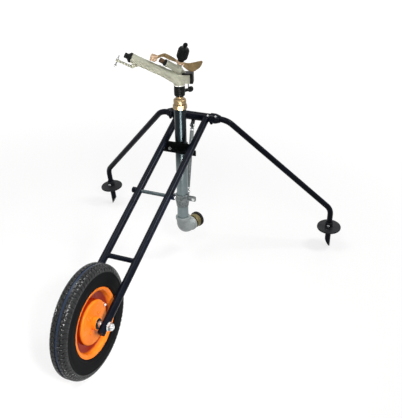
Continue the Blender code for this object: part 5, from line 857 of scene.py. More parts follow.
axleSizes = {"radius": 0.007, "face": 0.0695, "flange": 0.0145, "flats": 0.022, "height": 0.011}


def axleFlange():
    return lathe([(0, 0), (axleSizes["flange"], 0, 0.0005), (axleSizes["flange"], 0.0011, 0.0006),
                  (0.0114, 0.0030, 0.001), (0.0, 0.0030)], 64)


def makeAxle():
    piece = bmesh.new()
    face, flange = axleSizes["face"], 0.002
    far = wheelPlace @ turned(180, "X") @ moved(0, 0, face)
    hexHead(piece, axleSizes["flats"], axleSizes["height"] + flange, far)
    addPart(piece, axleFlange(), far)
    addPart(piece, rod(axleSizes["radius"] - 0.0001, -face + 0.0005, face - 0.001, 0.0004, 48), wheelPlace)
    finishPiece("axleBolt", piece, "zincSteel", "stand", ("axle",))
    nut = bmesh.new()
    near = wheelPlace @ moved(0, 0, face)
    hexHead(nut, axleSizes["flats"], axleSizes["height"] + flange, near)
    addPart(nut, axleFlange(), near)
    top = axleSizes["height"] + flange
    threads = [(axleSizes["radius"] - (0.0007 if i % 2 else 0.0001), top - 0.0005 + 0.0040 * i / 8) for i in range(9)]
    addPart(nut, lathe([(0, top - 0.0005)] + threads + [(0.0045, top + 0.0038), (0, top + 0.0038)], 48), near)
    finishPiece("axleNut", nut, "zincSteel", "stand", ("axle_nut",))
    spacers = bmesh.new()
    for side in (1, -1):
        addPart(spacers, ring(0.0074, 0.0102, 0.0350, 0.0434, 0.0005, 48), wheelPlace @ flipped(side))
    finishPiece("axleSpacers", spacers, "zincSteel", "stand", ("axle_spacer_left", "axle_spacer_right"))


valve = {"angle": 24, "ring": 0.0743, "lean": 20, "length": 0.024, "radius": 0.0050}


def makeValve():
    turn = Matrix.Rotation(radians(valve["angle"]) + pi / 2, 4, "Z")
    at = wheelPlace @ turn @ moved(valve["ring"], 0, 0.0031) @ turned(-valve["lean"], "Y")
    stem = bmesh.new()
    radius, end = valve["radius"], valve["length"]
    threads = [(radius * (0.66 if i % 2 else 0.74), 0.0100 + 0.0050 * i / 8) for i in range(9)]
    addPart(stem, lathe([(0, 0.004), (radius * 0.74, 0.004)] + threads + [(0, 0.0155)], 32), at)
    flutes = 12
    cap = lathe([(0, end), (radius * 0.72, end, 0.0006), (radius * 0.98, end - 0.0016, 0.0004),
                 (radius, end - 0.009, 0.0004), (0, end - 0.009)], flutes * 2)
    for vert in cap.verts:
        if abs(Vector(vert.co.xy).length - radius) < radius * 0.06:
            angle = Vector(vert.co.xy).angle_signed(Vector((1, 0)), 0) * flutes / (2 * pi)
            if abs(angle - round(angle)) > 0.25:
                vert.co.x, vert.co.y = vert.co.x * 0.92, vert.co.y * 0.92
    addPart(stem, cap, at)
    hexHead(stem, 0.0072, 0.0028, at @ moved(0, 0, 0.0062))
    finishPiece("valveStem", stem, "zincSteel", "wheel", ("valve_stem",))
    finishPiece("valveBoot",
                joined((lathe([(0, 0), (0.0052, 0, 0.0008), (0.0046, 0.0022, 0.001), (0.0036, 0.0064, 0.0006),
                               (0, 0.0066)], 32), at @ moved(0, 0, -0.0006))), "plainRubber", "wheel")


makeTyre()
makeRim("rimNearHalf", 1, "rim_near_half")
makeRim("rimFarHalf", -1, "rim_far_half")
makeHub()
makeAxle()
makeValve()
for node in ("bearing_left", "bearing_right"):
    keepNode(node, "blackPlastic")
print("wheel made")


# Stand: two rails from the axle to the cross tube, with bars, plate and rod between them
stand = {"rail": 0.0127, "railSide": 0.0565, "railTail": 0.030, "railSetback": 0.0145, "cross": 0.0159,
         "crossHalf": 0.078, "lowBar": 0.0085, "lowBarAlong": 0.2373, "rodHeight": 0.4047, "rod": 0.0065}


def onRails(height):
    return axlePoint + railAlong * ((height - axlePoint.z) / railAlong.z)


def makeRails():
    tail = axlePoint - railAlong * stand["railTail"]
    top = railAim - railAlong * stand["railSetback"]
    for name, side in (("rail_left", -1), ("rail_right", 1)):
        across = Vector((side * stand["railSide"], 0, 0))
        start, end = tail + across, top + across
        wall = stand["rail"] - 0.002
        length = (end - start).length
        tube = lathe([(wall, 0.020), (wall, 0.0, 0.0006), (stand["rail"], 0.0, 0.0006),
                      (stand["rail"], length - 0.0004, 0.0012), (0, length)], 48)
        finishPiece(name.replace("_l", "L").replace("_r", "R"), joined((tube, onStand(start) @ pointing(railAlong))),
                    "blackPaint", "stand", (name,))
    plugs = bmesh.new()
    for side in (-1, 1):
        at = onStand(tail + Vector((side * stand["railSide"], 0, 0))) @ pointing(-railAlong)
        cap = lathe([(0, 0.0013), (0.006, 0.0012, 0.001), (0.0102, 0.0002, 0.001), (0.0105, -0.008), (0, -0.008)], 40)
        addPart(plugs, cap, at)
    finishPiece("railPlugs", plugs, "blackPlastic", "stand")


def makeCrossMembers():
    half, radius = stand["crossHalf"], stand["cross"]
    finishPiece("crossTube", joined((ring(0.0117, radius, -half, half, 0.0006, 72), crossPlace)), "blackPaint",
                "stand", ("cross_tube",))
    reach = stand["railSide"] - stand["rail"] * 0.4
    middle = axlePoint + railAlong * stand["lowBarAlong"]
    finishPiece("lowCrossBar", joined((rod(stand["lowBar"], -reach, reach, 0.0004, 40), onStand(middle) @ alongX)),
                "blackPaint", "stand", ("low_cross_bar",))


# Welds where the rails meet the cross tube, the bar and the riser plate
def makeWelds():
    piece = bmesh.new()
    for side in (-1, 1):
        across = Vector((side * stand["railSide"], 0, 0))
        line = []
        for i in range(44):
            angle = 2 * pi * i / 44
            up = railAlong.cross(Vector((1, 0, 0)))
            spot = Vector((1, 0, 0)) * stand["rail"] * cos(angle) + up * stand["rail"] * sin(angle)
            toward = railAim + across + spot - crossPoint
            drop = toward - Vector((toward.x, 0, 0))
            ahead = railAlong
            inner = drop.dot(ahead)
            gap = drop.length_squared - inner * inner
            back = inner + max((stand["cross"] + 0.0002) ** 2 - gap, 0.0) ** 0.5
            start = railAim + across + spot - ahead * back
            limit = railAim + across + spot - ahead * stand["railSetback"]
            line.append(start if (start - limit).dot(ahead) < 0 else limit)
        addPart(piece, weld(line, 0.0021, seed=side * 3.1, side=(1, 0, 0)), standPlace)
        middle = axlePoint + railAlong * stand["lowBarAlong"]
        ends = []
        for i in range(30):
            angle = 2 * pi * i / 30
            rise = railAlong.cross(Vector((1, 0, 0)))
            high = stand["lowBar"] * sin(angle)
            inset = (stand["rail"] ** 2 - high ** 2) ** 0.5
            ends.append(middle + across - Vector((side, 0, 0)) * inset + rise * high
                        + railAlong * stand["lowBar"] * cos(angle))
        addPart(piece, weld(ends, 0.0017, seed=side * 5.7), standPlace)
    finishPiece("frameWelds", piece, "blackPaint", "stand", (), sharp=60)


rodEnd = {"start": 0.0695, "sleeve": 0.0104, "length": 0.011}


def makeRod():
    piece = bmesh.new()
    at = onStand(onRails(stand["rodHeight"])) @ alongX
    addPart(piece, rod(stand["rod"] - 0.0001, -0.080, 0.080, 0.0004, 40), at)
    sleeves, tips = bmesh.new(), bmesh.new()
    for side in (1, -1):
        end = at @ flipped(side) @ moved(0, 0, rodEnd["start"])
        addPart(sleeves,
                lathe([(0, 0.0002), (rodEnd["sleeve"], 0.0002, 0.0005), (rodEnd["sleeve"], rodEnd["length"], 0.0012),
                                (0, rodEnd["length"])], 48), end)
        addPart(tips, lathe([(0.0046, rodEnd["length"] - 0.001), (0.0046, rodEnd["length"] + 0.0019, 0.0008),
                             (0.0028, rodEnd["length"] + 0.0034, 0.0008), (0, rodEnd["length"] + 0.0034)], 32), end)
    finishPiece("spreaderRod", piece, "rodZinc", "stand", ("spreader_rod",))
    finishPiece("rodSleeves", sleeves, "blackPaint", "stand")
    finishPiece("rodTips", tips, "zincSteel", "stand")


plate = {"front": -0.0265, "thick": 0.005, "high": 0.0425, "centre": 0.49149, "strap": 0.0035, "strapWide": 0.030,
         "ear": 0.041, "boltX": 0.0330}


def makeRiserPlate():
    low, high, centre = plate["centre"] - plate["high"] / 2, plate["centre"] + plate["high"] / 2, plate["centre"]
    half, step = 0.0692, 0.0565
    outline = [(-half, low), (half, low), (half, centre), (step, centre), (step, high), (-step, high),
               (-step, centre), (-half, centre)]
    # the plate takes the black paint with painted shade
    finishPiece("riserPlate", joined((slab(outline, plate["front"], plate["front"] + plate["thick"], "Y", 0.0008),
                                      standPlace)), "paintedShadeBlack", "stand", ("riser_plate",))
    inner, outer = 0.0215, 0.0250
    front = plate["front"] + plate["thick"] + 0.0003
    back = front + plate["strap"]
    arc = [(-cos(pi * i / 28), sin(pi * i / 28)) for i in range(29)]
    points = [(-plate["ear"], front), (-inner, front)] + [(inner * x, inner * y) for x, y in arc]
    points += [(inner, front), (plate["ear"], front), (plate["ear"], back), (outer, back)]
    points += [(-outer * x, outer * y) for x, y in arc] + [(-outer, back), (-plate["ear"], back)]
    middle = plate["centre"] - plate["high"] * 0.12
    low = middle - plate["strapWide"] / 2
    finishPiece("riserStrap", joined((slab(points, low, low + plate["strapWide"], "Z", 0.0005), standPlace)),
                "blackPaint", "stand", ("riser_strap",))
    for tag, side, look in (("Left", -1, "dullSteel"), ("Right", 1, "blackPaint")):
        bolt = bmesh.new()
        at = standPlace @ moved(side * plate["boltX"], plate["front"] - 0.0002, middle) @ facingFront
        hexBolt(bolt, 0.010, 0.0040, 0.003, plate["thick"] + plate["strap"] + 0.0007, at,
                washer=(0.0031, 0.0060, 0.0008))
        finishPiece("strapBolt" + tag, bolt, look, "stand", ("strap_bolt_" + tag.lower(),), "zinc_steel")


# Leg sockets with their pinch lugs, and the locking screws of sockets and cross tube
socket = {"radius": 0.0192, "start": 0.0699, "shoulder": 0.0900, "end": 0.1075, "tip": 0.0135, "screwOut": 0.0940,
          "lug": (0.012, 0.014, 0.024), "rise": 0.004, "screwAngle": 45, "screwFlats": 0.0074}


def makeSockets():
    for tag, side in (("left", -1), ("right", 1)):
        piece = bmesh.new()
        outline = [(0.0163, socket["start"], 0.0004), (socket["radius"], socket["start"], 0.0014),
                   (socket["radius"], socket["shoulder"], 0.0035), (socket["tip"], socket["end"], 0.0010),
                   (0.0116, socket["end"], 0.0003)]
        addPart(piece, lathe(outline + [(0.0116, 0.0785), (0.0163, 0.0785)], 80, closed=True),
                crossPlace @ flipped(side))
        x = side * ((socket["start"] + socket["shoulder"]) / 2 + 0.0028)
        wide, deep, tall = socket["lug"]
        centre = crossPoint + Vector((x, -(socket["radius"] + deep / 2 - 0.0017), socket["rise"]))
        for low, high in ((-tall / 2, -0.0009), (0.0009, tall / 2)):
            at = onStand(centre)
            addPart(piece, block((-wide / 2, -deep / 2, low), (wide / 2, deep / 2 + 0.001, high), 0.0016, 3), at)
        finishPiece("legSocket" + tag.capitalize(), piece, "blackPaint", "stand", ("leg_socket_" + tag,))
        bolt = bmesh.new()
        at = onStand(centre + Vector((0, -deep / 6, tall / 2)))
        hexBolt(bolt, 0.010, 0.0040, 0.003, tall, at, washer=(0.0031, 0.0058, 0.0008))
        finishPiece("pinchBolt" + tag.capitalize(), bolt, "blackPaint", "stand", ("pinch_bolt_" + tag,), "zinc_steel")
    lean = turned(socket["screwAngle"], "X")
    for side, name, look in ((-1, "lockingScrewsLeft", "blackPaint"), (1, "lockingScrewsRight", "dullSteel")):
        screws = bmesh.new()
        for x, seat in ((stand["crossHalf"] - 0.015, stand["cross"]), (socket["screwOut"], socket["radius"] - 0.0013)):
            at = onStand(crossPoint) @ moved(side * x, 0, 0) @ lean @ moved(0, 0, seat - 0.0008)
            hexHead(screws, socket["screwFlats"], 0.0036, at)
            addPart(screws, rod(0.0046, 0, 0.0010, 0.0003, 28), at)
            addPart(screws, rod(0.0022, -0.003, 0.0037, 0.0005, 20), at)
        finishPiece(name, screws, look, "stand", (), "zinc_steel")


legs = {"radius": 0.0111, "stub": 0.040, "bendOut": 0.1345, "bend": 0.055, "kneeOut": 0.5046,
        "kneeBack": 0.3014, "kneeHeight": 0.1781, "fall": (-0.0473, 0.1184, -1), "spikeCut": 32,
        "footHeight": 0.0945}


def legFall(side):
    return (Vector(legs["fall"]).normalized()) * Vector((side, 1, 1))


def makeLeg(tag, side):
    fall = legFall(side)
    knee = Vector((side * legs["kneeOut"], legs["kneeBack"], legs["kneeHeight"]))
    outward = (Vector((side, 0, 0)) - side * fall.x * fall).normalized()
    end = knee + fall * ((-legs["radius"] * outward.z - knee.z) / fall.z)
    stub = crossPoint + Vector((side * legs["stub"], 0, 0))
    bend = crossPoint + Vector((side * legs["bendOut"], 0, 0))
    path = bentPath([stub, bend, knee, end], legs["bend"], 16)
    path[-1:-1] = [knee + fall * 0.075]
    part = pulled(path, legs["radius"], side=(0, 1, 0), sides=40)
    tip = end + outward * legs["radius"]
    cut = radians(legs["spikeCut"])
    normal = (outward * -cos(cut) + fall * sin(cut)).normalized()
    spike = [vert for vert in part.verts if (vert.co - knee).dot(fall) > 0.04]
    low = set(spike)
    faces = [face for face in part.faces if all(vert in low for vert in face.verts)]
    edges = [edge for edge in part.edges if edge.verts[0] in low and edge.verts[1] in low]
    made = bmesh.ops.bisect_plane(part, geom=spike + edges + faces, plane_co=tip, plane_no=normal, clear_outer=True)
    bmesh.ops.holes_fill(part, edges=onlyEdges(made["geom_cut"]))
    finishPiece("leg" + tag.capitalize(), joined((part, standPlace)), "blackPaint", tag + "_leg", ("leg_" + tag,),
                sharp=30,
                weighted=False)


foot = {"radius": 0.0475, "thick": 0.003, "lip": 0.004, "collar": 0.0148, "collarHigh": 0.026, "boltHigh": 0.012}


def footPlace(side):
    fall = legFall(side)
    knee = Vector((side * legs["kneeOut"], legs["kneeBack"], legs["kneeHeight"]))
    point = knee + fall * ((legs["footHeight"] - knee.z) / fall.z)
    up = -fall
    across = (Vector((1, 0, 0)) - up.x * up).normalized()
    return onStand(point) @ Matrix((across, up.cross(across), up)).transposed().to_4x4()


def makeFoot(tag, side):
    half, bore = foot["thick"] / 2, 0.0114
    outline = [(bore, foot["collarHigh"], 0.0005), (foot["collar"], foot["collarHigh"], 0.0010),
               (foot["collar"], half, 0.0022), (foot["radius"] - 0.0004, half, 0.0014),
               (foot["radius"], -foot["lip"], 0.0005), (foot["radius"] - 0.002, -foot["lip"], 0.0005),
               (foot["radius"] - 0.002, -half, 0.0008), (bore, -half, 0.0004)]
    finishPiece("footDisc" + tag.capitalize(), joined((lathe(outline, 96, closed=True), footPlace(side))), "discPaint",
                tag + "_foot", ("foot_" + tag,))
    bolt = bmesh.new()
    seat = footPlace(side) @ moved(0, 0, foot["boltHigh"]) @ facingFront @ moved(0, 0, foot["collar"] - 0.0006)
    hexHead(bolt, 0.010, 0.0046, seat)
    addPart(bolt, rod(0.0052, -0.0010, 0.0014, 0.0004, 32), seat)
    addPart(bolt, rod(0.0029, -0.003, 0.0046, 0.0005, 24), seat)
    finishPiece("footBolt" + tag.capitalize(), bolt, "zincSteel", tag + "_foot")


makeRails()
makeCrossMembers()
makeWelds()
makeRod()
makeRiserPlate()
makeSockets()
for tag, side in (("left", -1), ("right", 1)):
    makeLeg(tag, side)
    makeFoot(tag, side)
print("stand and legs made")


# Stay between the cross tube and the saddle: a tube with flattened ends
stay = {"radius": 0.0075, "tabThin": 0.0020, "tabWide": 0.0065, "top": (0, 0.1035, 0.5336), "foot": (0, 0.0475, 0.2805),
        "cheekNear": 0.0023, "cheek": 0.003, "fork": 0.016, "bolt": 0.003}


def makeStay():
    top, foot = Vector(stay["top"]), Vector(stay["foot"])
    length = (top - foot).length
    thin, wide, radius = stay["tabThin"], stay["tabWide"], stay["radius"]
    half = [(-0.0070, thin * 0.86, 0.0026, 3), (-0.0064, thin, 0.0042, 4), (-0.0045, thin, 0.0057, 5),
            (-0.0010, thin, wide, 5), (0.0055, thin, wide + 0.0004, 5), (0.0082, thin + 0.0002, wide + 0.0012, 4),
            (0.0100, 0.0046, 0.0085, 3), (0.0122, 0.0066, 0.0082, 2.4), (0.0146, radius, radius, 2)]
    sections = half + [(length - item[0], *item[1:]) for item in reversed(half)]
    place = onStand(foot) @ pointing(top - foot)
    spin = Matrix.Rotation((place.inverted().to_3x3() @ Vector((1, 0, 0))).xy.angle_signed(Vector((1, 0))), 4, "Z")
    finishPiece("stayTube", joined((loft(sections, 32), place @ spin.inverted())), "paleZinc", "stand", ("stay_tube",))
    ferrules = bmesh.new()                 # a bright ferrule closes each end of the tube
    for low in (0.0140, length - 0.0200):
        addPart(ferrules, ring(radius - 0.0004, radius + 0.0007, low, low + 0.0060, 0.0004, 48), place)
    finishPiece("stayFerrules", ferrules, "zincSteel", "stand")
    bolts = bmesh.new()
    face = stay["cheekNear"] + stay["cheek"] + 0.0003
    for spot in (top, foot):
        at = onStand(spot) @ alongX @ moved(0, 0, face)
        hexBolt(bolts, 0.010, 0.0040, stay["bolt"], 2 * face, at, washer=(0.0031, 0.0060, 0.0008))
    finishPiece("stayBolts", bolts, "zincSteel", "stand")


def makeBracket():
    piece = bmesh.new()
    top, fork = Vector(stay["top"]), stay["fork"] / 2
    tubeLow = crossPoint.z - stand["cross"]
    roundEnd = [(top.y - fork * cos(pi * i / 12), top.z - fork * sin(pi * i / 12)) for i in range(13)]
    outline = roundEnd + [(crossPoint.y + fork, tubeLow + 0.0030), (crossPoint.y, tubeLow + 0.0006),
                          (crossPoint.y - fork, tubeLow + 0.0030)]
    near = stay["cheekNear"]
    for low in (near, -near - stay["cheek"]):
        addPart(piece, slab(outline, low, low + stay["cheek"], "X", 0.0006), standPlace)
    bridge = block((-near - 0.001, crossPoint.y - fork + 0.001, tubeLow - 0.0034),
                   (near + 0.001, crossPoint.y + fork - 0.001, tubeLow + 0.001), 0.0006)
    addPart(piece, bridge, standPlace)
    for side in (-1, 1):                   # short weld beads along both sides of the cheeks
        line = []
        for i in range(13):
            across = fork * (1 - 2 * i / 12)
            line.append(crossPoint + Vector((side * (near + stay["cheek"]), across,
                                             -(stand["cross"] ** 2 - across ** 2) ** 0.5)))
        addPart(piece, weld(line, 0.0018, loop=False, seed=side * 7.9, side=(1, 0, 0)), standPlace)
    finishPiece("stayBracket", piece, "blackPaint", "stand", ("stay_bracket",))


# Saddle: two pressed halves with skirts and bolted ears
saddle = {"bore": 0.0214, "band": 0.0268, "top": 0.2945, "low": 0.2665, "skirt": 0.0228, "skirtLow": 0.2452,
          "earShort": 0.040, "earLong": 0.054, "earThick": 0.0030, "earHigh": 0.018, "split": 0.001, "inset": 0.0075}


def makeSaddle():
    middle = (saddle["top"] + saddle["low"]) / 2
    half = saddle["earHigh"] / 2
    for tag, side in (("front", -1), ("back", 1)):
        piece = bmesh.new()
        outline = [(saddle["bore"], saddle["top"], 0.0004), (saddle["band"] - 0.0006, saddle["top"], 0.0010),
                   (saddle["band"], saddle["top"] - 0.0030, 0.0010), (saddle["band"], saddle["low"] + 0.0015, 0.0012),
                   (saddle["band"] - 0.0014, saddle["low"] - 0.0030, 0.0020),
                   (saddle["skirt"] + 0.0004, saddle["skirtLow"] + 0.0030, 0.0020),
                   (saddle["skirt"], saddle["skirtLow"], 0.0003), (saddle["bore"], saddle["skirtLow"])]
        part = cutBy(lathe(outline, 96, closed=True), (0, side * saddle["split"], 0), (0, -side, 0))
        addPart(piece, part, standPlace)
        for low, high in ((-saddle["earShort"], -saddle["bore"] - 0.0016),
                          (saddle["bore"] + 0.0016, saddle["earLong"])):
            inner, outer = (saddle["split"] + 0.0002, saddle["split"] + saddle["earThick"])
            near, far = sorted((side * inner, side * outer))
            reach = low if low < 0 else high
            root = high if low < 0 else low
            bulge = 0.0016 * side              # the long ear bows out between its root and its tip
            if low < 0:
                outlineFlat = [(root, near), (reach, near), (reach, far), (root, far)]
            else:
                span = reach - root
                outlineFlat = [(root, near), (root + span * 0.30, near + bulge), (root + span * 0.62, near + bulge),
                               (reach, near), (reach, far), (root + span * 0.64, far + bulge * 0.8),
                               (root + span * 0.28, far + bulge * 0.8), (root, far)]
            ear = slab(outlineFlat, middle - half, middle + half, "Z", 0.0006)
            corners = [edge for edge in ear.edges if abs(abs(edge.verts[0].co.x - reach)) < 0.0008
                       and abs(edge.verts[0].co.y - edge.verts[1].co.y) > saddle["earThick"] * 0.4]
            rounded(ear, corners, 0.004, 4, clamp=True)
            addPart(piece, ear, standPlace)
        if side == 1:
            foot, tall = Vector(stay["foot"]), stay["fork"] / 2
            root = saddle["bore"] + 0.0012
            lugEnd = [(foot.y + tall * sin(pi * i / 12), foot.z - tall * cos(pi * i / 12)) for i in range(13)]
            lug = [(root, foot.z - tall)] + lugEnd + [(root, foot.z + tall)]
            near = stay["cheekNear"]
            for low in (near, -near - stay["cheek"]):
                addPart(piece, slab(lug, low, low + stay["cheek"], "X", 0.0006), standPlace)
        finishPiece("saddle" + tag.capitalize(), piece, "saddleZinc", "stand", ("saddle_" + tag,))
    bolts = bmesh.new()
    face = saddle["split"] + saddle["earThick"] + 0.0011
    for x in (-(saddle["earShort"] - saddle["inset"]), saddle["earLong"] - saddle["inset"]):
        at = standPlace @ moved(x, -face, middle) @ facingFront
        hexBolt(bolts, 0.010, 0.0040, 0.003, 2 * face, at, washer=(0.0031, 0.0062, 0.0009))
    finishPiece("saddleBolts", bolts, "zincSteel", "stand", ("saddle_bolt_left", "saddle_bolt_right"))


# Riser pipe, its elbow and the hose coupling
riser = {"radius": 0.0212, "bore": 0.0180, "low": 0.1808, "top": 0.6455, "ringLow": 0.6190, "ringHigh": 0.6338,
         "ring": 0.0221}
elbow = {"centre": 0.145, "reach": 0.0535, "bend": 0.030, "radius": 0.0247, "band": 0.0280, "bandWide": 0.012}


def makeRiser():
    outline = [(riser["bore"], riser["top"]), (riser["radius"], riser["top"], 0.0004),
               (riser["radius"], riser["ringHigh"]), (riser["ring"], riser["ringHigh"] - 0.0004, 0.0004),
               (riser["ring"], riser["ringLow"] + 0.0006, 0.0005), (riser["radius"], riser["ringLow"]),
               (riser["radius"], riser["low"]), (riser["bore"], riser["low"])]
    finishPiece("riserPipe", joined((lathe(outline, 128, closed=True), standPlace)), "riserSteel", "stand",
                ("riser_pipe",))
    start = Vector((0, 0, elbow["centre"] + elbow["reach"]))
    centre = Vector((0, 0, elbow["centre"]))
    end = centre + outletAlong * elbow["reach"]
    path = bentPath([start, centre, end], elbow["bend"], 20)
    down = Vector((0, 0, -1))
    wide = elbow["bandWide"]
    band = [(0.0, 0.0268), (0.0006, 0.0277), (0.0014, elbow["band"]), (wide - 0.0022, elbow["band"]),
            (wide - 0.0008, 0.0274), (wide + 0.0004, 0.0258), (wide + 0.0022, elbow["radius"] + 0.0001)]
    points = [start + down * depth for depth, size in band] + path[2:-2]
    radii = [size for depth, size in band] + [elbow["radius"]] * (len(path) - 4)
    points += [end - outletAlong * depth for depth, size in reversed(band)]
    radii += [size for depth, size in reversed(band)]
    finishPiece("castElbow", joined((pulled(points, radii, side=down.cross(outletAlong), sides=64), standPlace)),
                "castZinc", "stand", ("elbow",))


coupling = {"face": 0.0538, "collar": 0.024, "tail": 0.018, "bore": 0.0150, "flange": 0.0235, "nut": 0.0271,
            "start": 0.062, "end": 0.0949, "mouth": 0.0240, "guard": 0.0300, "guardWide": 0.0115, "grips": 20}


def makeCoupling():
    face, end = coupling["face"], coupling["end"]
    outline = [(coupling["bore"], 0.040), (0.0205, 0.040), (0.0205, face), (coupling["collar"], face, 0.0006),
               (coupling["collar"], face + 0.0060, 0.0010), (coupling["tail"], face + 0.0060),
               (coupling["tail"], 0.0823), (coupling["flange"], 0.0823, 0.0004), (coupling["flange"], 0.0863, 0.0006),
               (coupling["bore"] + 0.0004, 0.0863, 0.0004)]
    finishPiece("couplingTail", joined((lathe(outline, 96, closed=True), outletPlace)), "oldBrass", "stand",
                ("coupling_tail",))
    start, low = coupling["start"], end - coupling["guardWide"]
    outline = [(coupling["tail"] + 0.0006, start, 0.0004), (coupling["nut"] - 0.0020, start, 0.0010),
               (coupling["nut"], start + 0.0026, 0.0008), (coupling["nut"] - 0.0004, low - 0.0012),
               (coupling["nut"] - 0.0004, end, 0.0005), (coupling["mouth"], end, 0.0005)]
    threads = [(coupling["mouth"] + (0.0007 if i % 2 else 0.0), end - 0.0010 - 0.0006 * i) for i in range(26)]
    inner = [(coupling["mouth"], start + 0.0040), (coupling["tail"] + 0.0006, start + 0.0040)]
    part = lathe(outline + threads + inner, 160, closed=True)
    # lugs for a hook spanner are cut as shallow flats round the nut
    pressPart(part, 0.0008, start + 0.0024, low, lambda turn: max(0.0, cos(turn * coupling["grips"])) ** 2,
              coupling["nut"] - 0.0010)
    finishPiece("couplingNut", joined((part, outletPlace)), "oldBrass", "hose_coupling", ("coupling_nut",))
    seat = coupling["nut"] - 0.0006
    outline = [(seat, low, 0.0005), (coupling["guard"] - 0.0004, low, 0.0012),
               (coupling["guard"], low + 0.0036, 0.0010),
               (coupling["guard"] - 0.0006, low + 0.0058, 0.0006), (coupling["guard"], low + 0.0080, 0.0010),
               (coupling["guard"] - 0.0004, end, 0.0012), (seat, end, 0.0005)]
    finishPiece("couplingGuard", joined((lathe(outline, 96, closed=True), outletPlace)), "plainRubber",
                "hose_coupling", ("coupling_guard",))


# Brass adaptor, nipple and the black bearing with its two trip collars
bearing = {"flats": 0.047, "hexLow": 0.6342, "hexHigh": 0.6506, "collarTop": 0.6712, "collar": 0.0213,
           "sleeveLow": 0.6805, "sleeveTop": 0.7194, "sleeve": 0.0194, "tripLow": 0.6912, "tripTop": 0.7118,
           "lowerLug": 58, "upperLug": 120, "lugReach": 0.0298, "lugHalf": 0.0052}


def makeAdaptor():
    low, high, flats = bearing["hexLow"], bearing["hexHigh"], bearing["flats"]
    part = hexBar(flats, low, high)
    rounded(part, [edge for edge in part.edges if abs(edge.verts[0].co.z - edge.verts[1].co.z) > 0.001], 0.0050, 4)
    bmesh.ops.subdivide_edges(part, edges=part.edges[:], cuts=3, use_grid_fill=True)
    limit = flats / 2 * 1.02
    for vert in part.verts:                # turned chamfers: corners drop away beyond a cone
        flat = Vector(vert.co.xy).length
        drop = max(0.0, flat - limit) * 0.9 + 0.0002
        vert.co.z = max(min(vert.co.z, high - drop), low + drop)
    finishPiece("riserAdaptor",
                joined((part, standPlace),
                       (lathe([(0, low + 0.0004), (0.0222, low + 0.0004), (0.0226, low + 0.0010),
                               (0.0226, high - 0.0010), (0.0222, high), (0, high)], 64), standPlace)), "brass",
                "stand", ("riser_adaptor",), sharp=25)
    base, top, ring = high + 0.0003, bearing["collarTop"], bearing["collar"] + 0.0014
    outline = [(0.0114, base), (ring - 0.0022, base), (ring - 0.0022, base + 0.0020, 0.0005),
               (ring, base + 0.0034, 0.0008),
               (ring, top - 0.0034, 0.0016), (ring - 0.0030, top, 0.0010), (0.0148, top + 0.0002, 0.0012),
               (0.01325, top + 0.0030, 0.0010), (0.01325, 0.7136), (0.0114, 0.7136)]
    finishPiece("bearingNipple", joined((lathe(outline, 96, closed=True), standPlace)), "brass", "stand",
                ("bearing_nipple",))


def makeSleeve():
    low, top, radius = bearing["sleeveLow"], bearing["sleeveTop"], bearing["sleeve"]
    outline = [(0.01355, low, 0.0003), (radius - 0.0040, low, 0.0008), (radius, low + 0.0045, 0.0010),
               (radius, bearing["tripLow"], 0.0005), (0.0166, bearing["tripLow"]), (0.0166, bearing["tripTop"]),
               (radius, bearing["tripTop"], 0.0005), (radius, top - 0.0022, 0.0003),
               (radius - 0.0004, top - 0.0018, 0.0002),
               (radius - 0.0004, top - 0.0012, 0.0002), (radius, top - 0.0008, 0.0003), (radius, top, 0.0004),
               (0.0114, top), (0.0114, top - 0.0055), (0.0150, top - 0.0055), (0.0150, low + 0.0045),
               (0.01355, low + 0.0045)]
    finishPiece("bearingSleeve", joined((lathe(outline, 96, closed=True), standPlace)), "blackPlastic", "stand",
                ("bearing_sleeve",))


def makeTripCollars():
    spans = (("lower", 0.6915, 0.7014, bearing["lowerLug"]), ("upper", 0.7017, 0.7115, bearing["upperLug"]))
    for tag, low, high, azimuth in spans:
        piece = bmesh.new()
        turn = standPlace @ turned(azimuth, "Z")
        part = ring(0.0171, 0.0198, low, high, 0.0006, 96)
        addPart(piece, flutePart(part, 32, 0.00045, low + 0.0011, high - 0.0011, 3.0), turn)
        half = bearing["lugHalf"]
        outline = [(0.0180, -half - 0.0010), (0.0200, -half - 0.0008), (0.0216, -half),
                   (bearing["lugReach"] - 0.0016, -half),
                   (bearing["lugReach"], -half + 0.0016), (bearing["lugReach"], half - 0.0016),
                   (bearing["lugReach"] - 0.0016, half), (0.0216, half), (0.0200, half + 0.0008),
                   (0.0180, half + 0.0010)]
        addPart(piece, slab(outline, low + 0.0005, high - 0.0005, "Z", 0.0006), turn)
        look = "tripCollar" + tag.capitalize()
        finishPiece(look, piece, "blackPlastic", tag + "_collar", ("trip_collar_" + tag,))
    screw = bmesh.new()
    height = 0.69645
    turn = standPlace @ moved(0, 0, height) @ turned(bearing["lowerLug"], "Z") @ alongX
    addPart(screw, lathe([(0, 0.0292), (0.0060, 0.0292, 0.0006), (0.0060, 0.0330, 0.0010), (0.0050, 0.0338),
                          (0.0050, 0.0372), (0, 0.0372)], 32), turn)
    wings = [(0.0350, 0.0036, 0.0036, 2), (0.0364, 0.0062, 0.0046, 2.2), (0.0390, 0.0090, 0.0046, 2.6),
             (0.0428, 0.0102, 0.0040, 3), (0.0480, 0.0104, 0.0040, 3), (0.0528, 0.0096, 0.0044, 2.6),
             (0.0560, 0.0068, 0.0040, 2.2), (0.0574, 0.0034, 0.0024, 2)]
    addPart(screw, loft(wings, 36), turn)
    finishPiece("thumbScrew", screw, "blackPlastic", "lower_collar", ("trip_thumb_screw",))


makeStay()
makeBracket()
makeSaddle()
makeRiser()
makeCoupling()
makeAdaptor()
makeSleeve()
makeTripCollars()
keepNode("bearing_spring", "zincSteel")
print("riser, coupling and bearing made")


